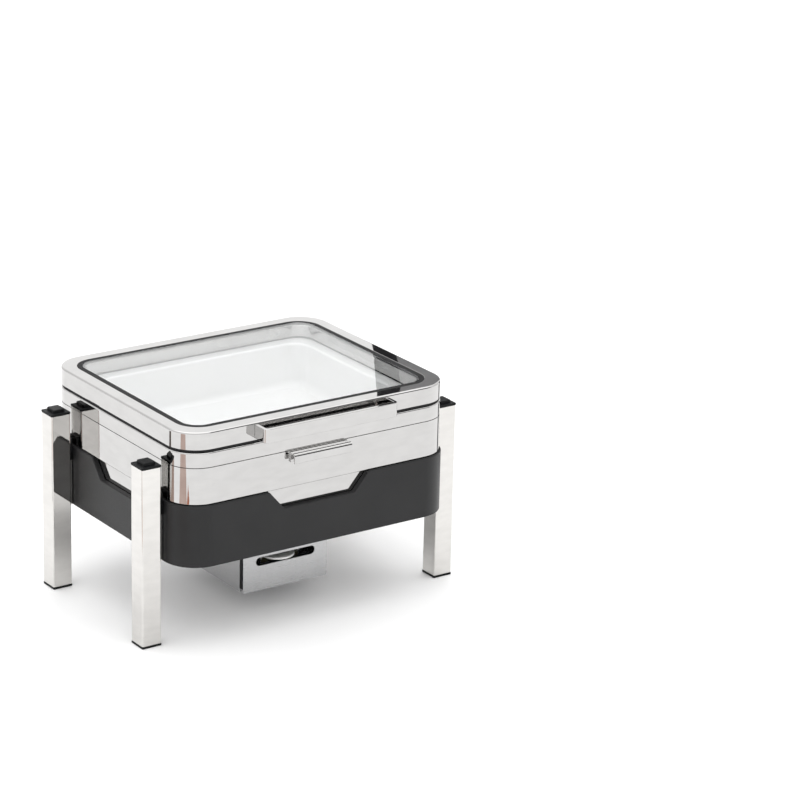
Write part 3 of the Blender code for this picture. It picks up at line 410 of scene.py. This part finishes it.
def thermoset():
    """Cream phenolic, compression moulded. Its filler gives the eye flecks about 1.5 mm across."""
    material, tree, shader = new_material("cream_phenolic_moulding")
    fleck = grained(tree, (1, 1, 1), 1.5 * MM)
    tinted(tree, shader, fleck, "#cabf9f", "#d6ccae")
    roughened(tree, shader, fleck, 0.4, 0.55)
    return material


def white_moulding():
    """White polyamide, moulded with a smooth face. It gives the eye a light, slightly soft disc; the mould's
    flow marks are about 6 mm apart."""
    material, tree, shader = new_material("white_moulded_polyamide")
    flow = grained(tree, (1, 1, 1), 6 * MM)
    tinted(tree, shader, flow, "#eeeeec", "#f4f4f2")
    roughened(tree, shader, flow, 0.3, 0.42)
    return material


def silicone_sleeve():
    """Silicone-rubber sleeving on a lead, extruded. It gives the eye a matt red, mottled about every 3 mm."""
    material, tree, shader = new_material("red_silicone_sleeving")
    mottle = grained(tree, (1, 1, 1), 3 * MM)
    tinted(tree, shader, mottle, "#8e2c1f", "#9c3526")
    roughened(tree, shader, mottle, 0.45, 0.6)
    return material


MIRROR = mirror_stainless("mirror_stainless_sheet", 0.12 * MM, ("#c1c0bf", "#bcbbba"))
TUBE = mirror_stainless("mirror_stainless_tube", 0.03 * MM, ("#d6d4d1", "#d0cecb"))
SATIN = satin_stainless()
PAINT = powder_coat()
POLYAMIDE = moulded_polyamide()
RUBBER = extruded_rubber()
GLASS = toughened_glass()
PORCELAIN = glazed_porcelain()
ALUMINIUM = cast_aluminium()
BRIGHT = turned_steel()
PHENOLIC = thermoset()
WHITE = white_moulding()
RED_SLEEVE = silicone_sleeve()


# ---------------------------------------------------------------- stand

def make_leg(place, x, y):
    """Square tube: its wall section, with ends softened 0.3 mm, carried round a 30 mm square whose corners
    have a radius of 2 mm."""
    low, wall = 3.3 * MM, 1.5 * MM
    section = filleted([(0, low), (0, LEG_TOP), (wall, LEG_TOP), (wall, low)], 0.3 * MM, True, 3)
    grid = moved(outline_rows(levels_of(LEG, section)), x, y)
    piece(f"leg_tube_{place}", grid_mesh("leg", grid), TUBE, "frame", [f"leg_{place}"])


def make_stacking_cap(place, x, y):
    """Plug, 30.6 mm square plate and the 18 x 20.5 mm boss on it, each a rounded rectangle that changes
    with z."""
    boss = (9 * MM, 10.25 * MM, 2 * MM)
    under, plate_top, boss_top = 260.3 * MM, 263.3 * MM, 267.8 * MM
    plate_line = filleted([(2.1 * MM, under), (0, under), (0, plate_top), (4 * MM, plate_top)],
                          [0, 0.4 * MM, 0.8 * MM, 0])
    boss_line = filleted([(-0.5 * MM, plate_top), (0, plate_top), (0, boss_top), (8 * MM, boss_top)],
                         [0, 0.2 * MM, 1.3 * MM, 0])
    plug = np.array([(*PLUG, 245.3 * MM)])
    levels = np.concatenate([plug, levels_of(CAP, plate_line), levels_of(boss, boss_line)])
    grid = moved(outline_rows(levels), x, y)
    mesh = grid_mesh("stacking_cap", grid, close_columns=False, caps=True)
    piece(f"stacking_cap_{place}_moulding", mesh, POLYAMIDE, "frame", [f"stacking_cap_{place}"])


def make_foot_cap(place, x, y):
    """Floor plate and plug with the pocket for the boss of the unit below, edges softened."""
    pocket_hole, plate_top = (9.8 * MM, 11.05 * MM, 1.5 * MM), 3 * MM
    pocket = [(*pocket_hole, 5.6 * MM), (*pocket_hole, 0.3 * MM), (10.1 * MM, 11.35 * MM, 1.8 * MM, 0)]
    plate_line = filleted([(3 * MM, 0), (0, 0), (0, plate_top), (2.1 * MM, plate_top)],
                          [0, 0.6 * MM, 0.3 * MM, 0])
    plug = [(*PLUG, plate_top), (*PLUG, 18 * MM)]
    grid = moved(outline_rows(np.concatenate([pocket, levels_of(CAP, plate_line), plug])), x, y)
    mesh = grid_mesh("foot_cap", grid, close_columns=False, caps=True)
    piece(f"foot_cap_{place}_moulding", mesh, POLYAMIDE, "frame", [f"foot_cap_{place}"])


def side_run(start, end, middle, half_bottom):
    """Points (along, z) of the band's top edge on one straight side: level, down a slope into the dip, level,
    and up again, with 4 mm fillets."""
    way = math.copysign(1, end - start)
    dip_z = BAND_TOP - DIP_DEPTH
    corners = [(start, BAND_TOP)]
    for along, z in ((-half_bottom - DIP_RUN, BAND_TOP), (-half_bottom, dip_z),
                     (half_bottom, dip_z), (half_bottom + DIP_RUN, BAND_TOP)):
        corners.append((middle + way * along, z))
    corners.append((end, BAND_TOP))
    return filleted(corners, 4 * MM, steps=8)


def make_band():
    """Powder-coated skin with a flange turned in along its top.

    The path runs round a rounded rectangle with radius R - d for a depth d. The height of a section point is
    low + w x (top - low) + offset: w is 1 for the points that follow the dipping top edge and 0 for the rest.
    """
    flange, skin = 7.7 * MM, 2 * MM
    half_x, half_y, radius = BAND
    flat_x, flat_y = half_x - radius, half_y - radius
    quarter = np.linspace(0, math.pi / 2, 2 * CORNER + 1)
    side_dip, front_dip = (SIDE_DIP_Y, SIDE_DIP_HALF), (FRONT_DIP_X, FRONT_DIP_HALF)
    runs = [side_run(-flat_y, flat_y, *side_dip), side_run(flat_x, -flat_x, *front_dip),
            side_run(flat_y, -flat_y, *side_dip), side_run(-flat_x, flat_x, *front_dip)]
    centres, normals, tops = [], [], []
    for side, run in enumerate(runs):
        angle = side * math.pi / 2 - math.pi / 2 + quarter
        corner = (flat_x * (1, 1, -1, -1)[side], flat_y * (-1, 1, 1, -1)[side])
        centres.append(np.broadcast_to(corner, (len(angle), 2)))
        normals.append(np.stack([np.cos(angle), np.sin(angle)], 1))
        tops.append(np.full(len(angle), BAND_TOP))
        inner = run[1:-1]
        out = (math.cos(side * math.pi / 2), math.sin(side * math.pi / 2))
        spread = np.zeros((len(inner), 2))
        spread[:, 0] = corner[0] if side in (0, 2) else inner[:, 0]
        spread[:, 1] = inner[:, 0] if side in (0, 2) else corner[1]
        centres.append(spread)
        normals.append(np.broadcast_to(out, (len(inner), 2)))
        tops.append(inner[:, 1])
    centres, normals, tops = np.concatenate(centres), np.concatenate(normals), np.concatenate(tops)
    section = filleted([(0, BAND_LOW), (0, BAND_TOP), (flange, BAND_TOP), (flange, BAND_TOP - skin),
                        (skin, BAND_TOP - skin), (skin, BAND_LOW)],
                       [0.6 * MM, 1.4 * MM, 0.6 * MM, 0.6 * MM, 0.8 * MM, 0.6 * MM], True)
    depth, z = section.T
    follows = (z > (BAND_LOW + BAND_TOP) / 2).astype(float)
    offset = z - np.where(follows > 0, BAND_TOP, BAND_LOW)
    flat = centres[:, None] + normals[:, None] * (radius - depth)[None, :, None]
    height = BAND_LOW + follows[None] * (tops[:, None] - BAND_LOW) + offset[None]
    mesh = grid_mesh("band", np.concatenate([flat, height[..., None]], -1))
    piece("frame_band_skin", mesh, PAINT, "frame", ["frame_band"])


def make_crossbar(hand, side):
    """Strap with its ends turned up: the bent line of a 3 mm sheet in Y and Z, pushed 25 mm along X."""
    end, up = 184.2 * MM, BAND_LOW + 25 * MM
    line = [(-end, up), (-end, BAND_LOW), (end, BAND_LOW), (end, up)]
    section = sheet_section(line, 5 * MM, -3 * MM)
    start = side * BAR_X - BAR_WIDTH / 2
    grid = extruded(section, (1, 2), start, start + BAR_WIDTH)
    mesh = grid_mesh("crossbar", grid, close_columns=False, caps=True)
    piece(f"crossbar_{hand}_strap", mesh, MIRROR, "frame", [f"crossbar_{hand}"],
          edges=0.3 * MM)


def make_heater_box():
    """Folded sleeve: flanges, sides and floor as one 1.2 mm sheet bent in X and Z, pushed along Y."""
    reach, flange = BAR_X + BAR_WIDTH / 2, BAND_LOW - GAP - BOX_SHEET
    line = [(-reach, flange), (-BOX_HALF_X, flange), (-BOX_HALF_X, BOX_LOW),
            (BOX_HALF_X, BOX_LOW), (BOX_HALF_X, flange), (reach, flange)]
    section = sheet_section(line, 1.4 * MM, -BOX_SHEET)
    front, rear = -87 * MM, 93 * MM
    grid = extruded(section, (0, 2), front, rear)
    mesh = grid_mesh("heater_box", grid, close_columns=False, caps=True)
    piece("heater_box_sleeve", mesh, SATIN, "frame", ["heater_box"], edges=0.2 * MM)


# ---------------------------------------------------------------- heater drawer

def plate_with_slot(name, half_x, z_low, z_high, radius, margin, y_front, y_back):
    """Plate with a round-ended slot, which is the drawer's slot widened by the margin.

    The slot's and the plate's outlines have their points in the same order, so a point of the face is
    (1 - t) x slot + t x plate. The section goes from the slot's wall over the front face to the rim and back
    over the rear face.
    """
    middle = (z_low + z_high) / 2
    end = SLOT_HEIGHT / 2 + margin / 2
    slot = outline_rows([(SLOT_HALF + margin, end, end * 0.99, 0)])[:, 0, :2] + (0, SLOT_Z)
    plate = outline_rows([(half_x, (z_high - z_low) / 2, radius, 0)])[:, 0, :2] + (0, middle)
    share = np.array([0, 1, 1, 0.0])[None, :, None]
    flat = (1 - share) * slot[:, None] + share * plate[:, None]
    y = np.broadcast_to(np.array([y_front, y_front, y_back, y_back])[None, :, None], flat.shape[:2] + (1,))
    grid = np.concatenate([flat[..., :1], y, flat[..., 1:]], -1)
    return grid_mesh(name, grid)


def make_drawer_front():
    """Steel face and, behind it, the black plate that shows as a dark line at its ends."""
    panel_top, insulator_low, insulator_top = 118.5 * MM, 31 * MM, 117.3 * MM
    mesh = plate_with_slot("drawer_front", BOX_HALF_X, BOX_LOW, panel_top, 3 * MM, 0,
                           -96 * MM, -94.8 * MM)
    piece("drawer_front_panel", mesh, SATIN, "heater_drawer", ["drawer_front"],
          edges=0.25 * MM)
    mesh = plate_with_slot("front_insulator", BOX_HALF_X + 0.8 * MM, insulator_low, insulator_top,
                           1 * MM, 2 * MM, -94.5 * MM, -87.3 * MM)
    piece("front_insulator_moulding", mesh, POLYAMIDE, "heater_drawer", ["front_insulator"],
          edges=0.3 * MM)


def make_dial():
    """Thumbwheel on its shaft: a profile of (radius, z) points turned about a vertical axis, so that
    x = r cos a and y = middle + r sin a."""
    low, top, shaft_low = 64.5 * MM, 67.5 * MM, 46 * MM
    rim, shaft, hub = 25 * MM, 3 * MM, 1 * MM
    steps, middle = 96, -73.2 * MM
    disc = filleted([(hub, shaft_low), (shaft, shaft_low), (shaft, low), (rim, low), (rim, top), (hub, top)],
                    [0, 0.3 * MM, 0.5 * MM, 0.7 * MM, 0.7 * MM, 0])
    angle = np.linspace(0, 2 * math.pi, steps, endpoint=False)[:, None]
    radius, z = disc.T
    grid = np.stack([radius * np.cos(angle), middle + radius * np.sin(angle),
                     np.broadcast_to(z, (steps, len(z)))], -1)
    mesh = grid_mesh("dial", grid, close_columns=False, caps=True)
    piece("thermostat_thumbwheel", mesh, WHITE, "dial", ["thermostat_dial"])


# ---------------------------------------------------------------- server

def make_water_tub():
    """Tub: its wall section, up the outside and down the inside, carried round the body's outline."""
    shoulder, inset = BAND_TOP + GAP, 5.5 * MM
    line = [(60 * MM, TUB_FLOOR), (inset, TUB_FLOOR), (inset, shoulder), (0, shoulder),
            (0, SEAM - SEAM_GROOVE)]
    section = sheet_section(line, [0, 10 * MM, 0.8 * MM, 1.6 * MM, 0], 1.2 * MM)
    mesh = grid_mesh("tub", outline_rows(levels_of(BODY, section)), close_columns=False, caps=True)
    piece("water_tub_pressing", mesh, MIRROR, "server", ["water_tub"])


def make_top_ring():
    """Collar: outer wall, folded top and turned-down inner edge of a 1.5 mm sheet, carried round the body."""
    inner = 40 * MM
    line = [(0, SEAM + SEAM_GROOVE), (0, RING_TOP), (inner, RING_TOP), (inner, RING_TOP - 8 * MM)]
    section = sheet_section(line, 2.2 * MM, SHEET)
    mesh = grid_mesh("ring", outline_rows(levels_of(BODY, section)))
    piece("top_ring_pressing", mesh, MIRROR, "server", ["top_ring"])


def make_food_pan():
    """Glazed pan with a rolled rim: levels up the outside, round the rim and down the inside. Its corner
    radius grows by a tenth of what the outline grows, and is tight where the floors meet in the middle."""
    floor, rim_low = 225 * MM, RING_TOP + GAP
    rise, wall = rim_low - floor, 4 * MM
    outside = filleted([(60 * MM, 0), (0, 0), (-11 * MM, rise), (-28 * MM, rise), (-28 * MM, rise + wall),
                        (-7.2 * MM, rise + wall), (wall, wall), (60 * MM, wall)],
                       [0, 14 * MM, 2 * MM, 1.9 * MM, 1.9 * MM, 4 * MM, 12 * MM, 0], steps=10)
    base, tight, widest, middle = (163 * MM, 126.5 * MM, 24 * MM), 2 * MM, 26 * MM, 20 * MM
    depth = outside[:, 0]
    levels = levels_of(base, outside)
    levels[:, 2] = np.where(depth > middle, tight, np.clip(base[2] - depth * 0.1, tight, widest))
    levels[:, 3] += floor
    mesh = grid_mesh("pan", outline_rows(levels), close_columns=False, caps=True)
    piece("food_pan_porcelain", mesh, PORCELAIN, "server", ["food_pan"])


def make_lid_seal():
    """Flat rubber ring on the collar."""
    low, high = RING_TOP + GAP, LID_LOW - GAP
    section = filleted([(1.5 * MM, low), (1.5 * MM, high), (7.5 * MM, high), (7.5 * MM, low)], 0.6 * MM, True)
    mesh = grid_mesh("seal", outline_rows(levels_of(BODY, section)))
    piece("lid_seal_ring", mesh, RUBBER, "server", ["lid_seal"])


def make_body_handle():
    """Ledge: back flange, grooved top and rounded, turned-down lip, one section in Y and Z pushed along X.
    The grooves are depth x (1 - cos) / 2 across the top."""
    wall, front, top, low = HANDLE_WALL, -196.3 * MM, 262 * MM, 248 * MM
    sheet, pitch, deep = 2.5 * MM, 2.2 * MM, 0.5 * MM
    groove = np.linspace(front + 5 * MM, wall - 0.9 * MM, 91)
    ribs = top - deep * (0.5 - 0.5 * np.cos((groove - groove[0]) * 2 * math.pi / pitch))
    ribs[0] = ribs[-1] = top
    under = filleted([(wall, low), (wall - sheet, low), (wall - sheet, top - sheet),
                      (front + sheet, top - sheet), (front + sheet, low), (front, low), (front, top),
                      (groove[0], top)],
                     [0, 0.6 * MM, 1 * MM, 2 * MM, 0.8 * MM, 0.8 * MM, 4.5 * MM, 0], steps=10)
    section = np.concatenate([under, np.stack([groove, ribs], 1)[1:], [(wall, top)]])
    grid = extruded(section, (1, 2), -52 * MM, 42 * MM)
    mesh = grid_mesh("ledge", grid, close_columns=False, caps=True)
    piece("body_handle_ledge", mesh, MIRROR, "server", ["body_handle"])


# ---------------------------------------------------------------- lid

def make_lid_frame():
    """Lid frame: outer wall, rounded edge, flat rim, seat for the glass and inner wall of a 1.5 mm sheet.

    The outer half of the section is measured from the body's outline and the inner half from the rim's
    opening, whose corners are rounder.
    """
    rim, seat, seat_z = 19.5 * MM, 11 * MM, 309.5 * MM
    line = [(0, LID_LOW), (0, LID_TOP), (rim, LID_TOP), (rim, seat_z), (rim + seat, seat_z),
            (rim + seat, LID_LOW + 2 * MM)]
    section = sheet_section(line, [0, 3 * MM, 0.5 * MM, 0.4 * MM, 1.7 * MM, 0], SHEET)
    on_rim = section[:, 0] > rim / 2
    inner = section - (rim, 0)
    levels = np.where(on_rim[:, None], levels_of(HOLE, inner), levels_of(BODY, section))
    mesh = grid_mesh("lid_frame", outline_rows(levels))
    piece("lid_frame_pressing", mesh, MIRROR, "lid", ["lid_frame"])


def make_gasket():
    """Rubber round the glass: a step section with softened edges, standing flush with the glass."""
    shelf, under, inner, lip = 309.8 * MM, 310.7 * MM, 7.3 * MM, 10.7 * MM
    section = filleted([(GAP, shelf), (GAP, LID_TOP), (inner, LID_TOP), (inner, under), (lip, under),
                        (lip, shelf)],
                       [0.3 * MM, 0.6 * MM, 0.6 * MM, 0.3 * MM, 0.3 * MM, 0.3 * MM], True, 4)
    mesh = grid_mesh("gasket", outline_rows(levels_of(HOLE, section)))
    piece("glass_gasket_extrusion", mesh, RUBBER, "lid", ["glass_gasket"])


def make_glass():
    """Flat pane with ground edges."""
    edge, low = 7.6 * MM, 311 * MM
    line = filleted([(20 * MM, low), (edge, low), (edge, LID_TOP), (20 * MM, LID_TOP)], 0.5 * MM, steps=4)
    mesh = grid_mesh("glass", outline_rows(levels_of(HOLE, line)), close_columns=False, caps=True)
    piece("lid_glass_pane", mesh, GLASS, "lid", ["lid_glass"])


def make_lid_handle():
    """Flat bar, 5 x 20 mm with softened edges, carried along a wide U."""
    across, low, high = 2.5 * MM, 292.5 * MM, 312.5 * MM
    profile = filleted([(-across, low), (-across, high), (across, high), (across, low)], 0.7 * MM, True, 5)
    x, wall, front = 106.5 * MM, HANDLE_WALL, -208.5 * MM
    path = filleted([(-x, wall), (-x, front), (x, front), (x, wall)], 5.5 * MM, steps=12)
    mesh = grid_mesh("lid_handle", carried(profile, path), close_columns=False, caps=True)
    piece("lid_handle_bar", mesh, MIRROR, "lid", ["lid_handle"])


for place_name, (leg_x, leg_y) in LEG_PLACES.items():
    make_leg(place_name, leg_x, leg_y)
    make_stacking_cap(place_name, leg_x, leg_y)
    make_foot_cap(place_name, leg_x, leg_y)
    softened(f"leg_clip_{place_name}", POLYAMIDE, "frame", 0.5 * MM)
    softened(f"leg_standoff_{place_name}", TUBE, "frame", 0.2 * MM)
    softened(f"leg_screw_{place_name}", BRIGHT, "frame", 0.15 * MM)
make_band()
make_heater_box()
make_drawer_front()
make_dial()
softened("drawer_tray", SATIN, "heater_drawer", 0.15 * MM)
softened("heating_plate", ALUMINIUM, "heater_drawer", 0.4 * MM)
softened("thermostat_body", PHENOLIC, "heater_drawer", 0.4 * MM)
softened("thermostat_bracket", BRIGHT, "heater_drawer", 0.1 * MM)
softened("thermostat_bush", BRIGHT, "heater_drawer", 0.2 * MM)
softened("thermal_cutout", POLYAMIDE, "heater_drawer", 0.3 * MM)
softened("power_inlet", POLYAMIDE, "heater_drawer", 0.4 * MM)
softened("heating_element", BRIGHT, "heater_drawer", 0.0, 50)
softened("supply_lead", POLYAMIDE, "heater_drawer", 0.0, 50)
softened("element_lead", RED_SLEEVE, "heater_drawer", 0.0, 50)
make_water_tub()
make_top_ring()
make_food_pan()
make_lid_seal()
make_body_handle()
make_lid_frame()
make_gasket()
make_glass()
make_lid_handle()
for hand_name, hand_side in SIDES.items():
    make_crossbar(hand_name, hand_side)
    softened(f"hinge_fork_{hand_name}", MIRROR, "server", 0.5 * MM)
    softened(f"hinge_pin_{hand_name}", BRIGHT, "server", 0.2 * MM)
    softened(f"hinge_arm_{hand_name}", MIRROR, "lid", 0.5 * MM)
    softened(f"lid_handle_screw_{hand_name}", BRIGHT, "lid", 0.15 * MM)


# ---------------------------------------------------------------- floor, light and camera

FLOOR_HALF = 15              # half the floor's side, in metres
FLOOR_Z = -0.2 * MM          # just under the feet
TENT = 1.05                  # brightness of the tent's walls
# Round patches of other brightness: direction, inner and outer angle in degrees, brightness
PATCHES = [
    ((0, 0, 1), 20, 55, 2.1),                # softbox overhead
    ((0.577, 0.817, 0.35), 15, 35, 1.32),    # softbox behind, at the right
    ((0.55, -0.75, 0.36), 13, 19, 0.08),     # dark gap of the door, at the front right
]
DARK, GREY = ("#262628", "#303032"), ("#8a8a8b", "#949495")
WARM, BROWN, PINK = ("#a5654c", "#b87a60"), ("#4c423c", "#5c5049"), ("#c3aba1", "#cdb8af")
# Cards: name, a corner, its two sides as vectors in metres, colours
CARDS = [
    ("dark_card_behind", (0.41, 0.31, 0.335), (0.045, 0.0, 0.0), (0.03, 0.0, 0.24), DARK),
    ("grey_card_behind", (0.455, 0.31, 0.335), (0.42, 0.0, 0.0), (0.03, 0.0, 0.24), GREY),
    ("dark_card_right", (0.62, -0.06, 0.02), (0.0, 0.09, 0.0), (0.0, 0.0, 0.42), DARK),
    ("warm_card_left", (-0.6, -0.33, 0.002), (0.09, 0.0, 0.0), (-0.13, -0.19, 0.0), WARM),
    ("table_edge", (-0.62, -0.42, 0.002), (-0.9, -0.25, 0.0), (0.0, 0.28, 0.0), PINK),
    ("table_gap", (-0.60, 0.10, 0.002), (-0.5, 0.35, 0.0), (0.0, 0.16, 0.0), BROWN),
]
CAMERA_PLACE = (-2.3166, -3.6468, 1.7898)
CAMERA_TURN = (-35.23, 19.31, 1.413)         # azimuth, elevation and roll in degrees
LENS, SENSOR = 145.8, 36                     # millimetres


def make_floor():
    """Pale studio floor, wide enough to fill the view."""
    material, tree, shader = new_material("painted_studio_floor", Specular_IOR_Level=0.2)
    roller = grained(tree, (1, 1, 1), 400 * MM, 1.0)
    tinted(tree, shader, roller, "#fafafa", "#fcfcfc")
    roughened(tree, shader, roller, 0.55, 0.65)
    side = np.linspace(-FLOOR_HALF, FLOOR_HALF, 3)
    x, y = np.meshgrid(side, side, indexing="ij")
    grid = np.stack([x, y, np.full_like(x, FLOOR_Z)], -1)
    mesh = grid_mesh("floor", grid, close_rows=False, close_columns=False)
    mesh.materials.append(material)
    floor = bpy.data.objects.new("studio_floor", mesh)
    bpy.context.scene.collection.objects.link(floor)


def patched(tree, light, direction, inner, outer, brightness):
    """World brightness with a round patch: within the inner angle (degrees) of the direction it is the
    given brightness, and it fades to the rest at the outer angle."""
    place = add(tree, "ShaderNodeTexCoord")
    dot = {"operation": 'DOT_PRODUCT', 1: Vector(direction).normalized()}
    facing = add(tree, "ShaderNodeVectorMath", dot, i0=(place, "Generated"))
    fade = {"interpolation_type": 'SMOOTHSTEP', "From Min": math.cos(math.radians(outer)),
            "From Max": math.cos(math.radians(inner))}
    share = add(tree, "ShaderNodeMapRange", fade, Value=(facing, "Value"))
    patch = add(tree, "ShaderNodeMix", {"data_type": 'FLOAT', "B": brightness}, Factor=(share, "Result"))
    if light is None:
        patch.inputs["A"].default_value = TENT
    else:
        tree.links.new(light.outputs["Result"], patch.inputs["A"])
    return patch


def make_world():
    """White studio tent with softboxes overhead and behind the object, and the dark gap of its door."""
    world = bpy.data.worlds.new("studio_tent")
    bpy.context.scene.world = world
    world.use_nodes = True
    tree = world.node_tree
    light = None
    for patch in PATCHES:
        light = patched(tree, light, *patch)
    background = tree.nodes["Background"]
    background.inputs["Color"].default_value = (1, 1, 1, 1)
    tree.links.new(light.outputs["Result"], background.inputs["Strength"])


def make_card(name, corner, across, up, colours):
    """Dark or warm card beside the set, which gives polished steel its streaks. Only reflections show it."""
    material, tree, shader = new_material(name + "_paint", Specular_IOR_Level=0.1)
    brushed = grained(tree, (1, 1, 1), 120 * MM)
    tinted(tree, shader, brushed, *colours)
    roughened(tree, shader, brushed, 0.6, 0.7)
    corner, across, up = np.array(corner), np.array(across), np.array(up)
    grid = np.array([[corner, corner + up], [corner + across, corner + across + up]])
    mesh = grid_mesh(name, grid, close_rows=False, close_columns=False)
    mesh.materials.append(material)
    card = bpy.data.objects.new(name, mesh)
    bpy.context.scene.collection.objects.link(card)
    card.visible_camera = False
    card.visible_diffuse = False
    card.visible_shadow = False


def make_camera():
    """Long lens from the front left, a little above the lid."""
    azimuth, elevation, roll = (math.radians(angle) for angle in CAMERA_TURN)
    back = Vector((math.sin(azimuth) * math.cos(elevation), -math.cos(azimuth) * math.cos(elevation),
                   math.sin(elevation)))
    right = (-back).cross(Vector((0, 0, 1))).normalized()
    up = right.cross(-back)
    turned_right = math.cos(roll) * right + math.sin(roll) * up
    turned_up = -math.sin(roll) * right + math.cos(roll) * up
    data = bpy.data.cameras.new("camera")
    data.sensor_width = SENSOR
    data.lens = LENS
    data.clip_start, data.clip_end = 0.05, 100
    camera = bpy.data.objects.new("camera", data)
    bpy.context.scene.collection.objects.link(camera)
    basis = Matrix((turned_right, turned_up, back)).transposed().to_4x4()
    camera.matrix_world = Matrix.Translation(CAMERA_PLACE) @ basis
    bpy.context.scene.camera = camera


make_floor()
make_world()
for card_values in CARDS:
    make_card(*card_values)
make_camera()
bpy.context.scene.view_settings.view_transform = 'Standard'
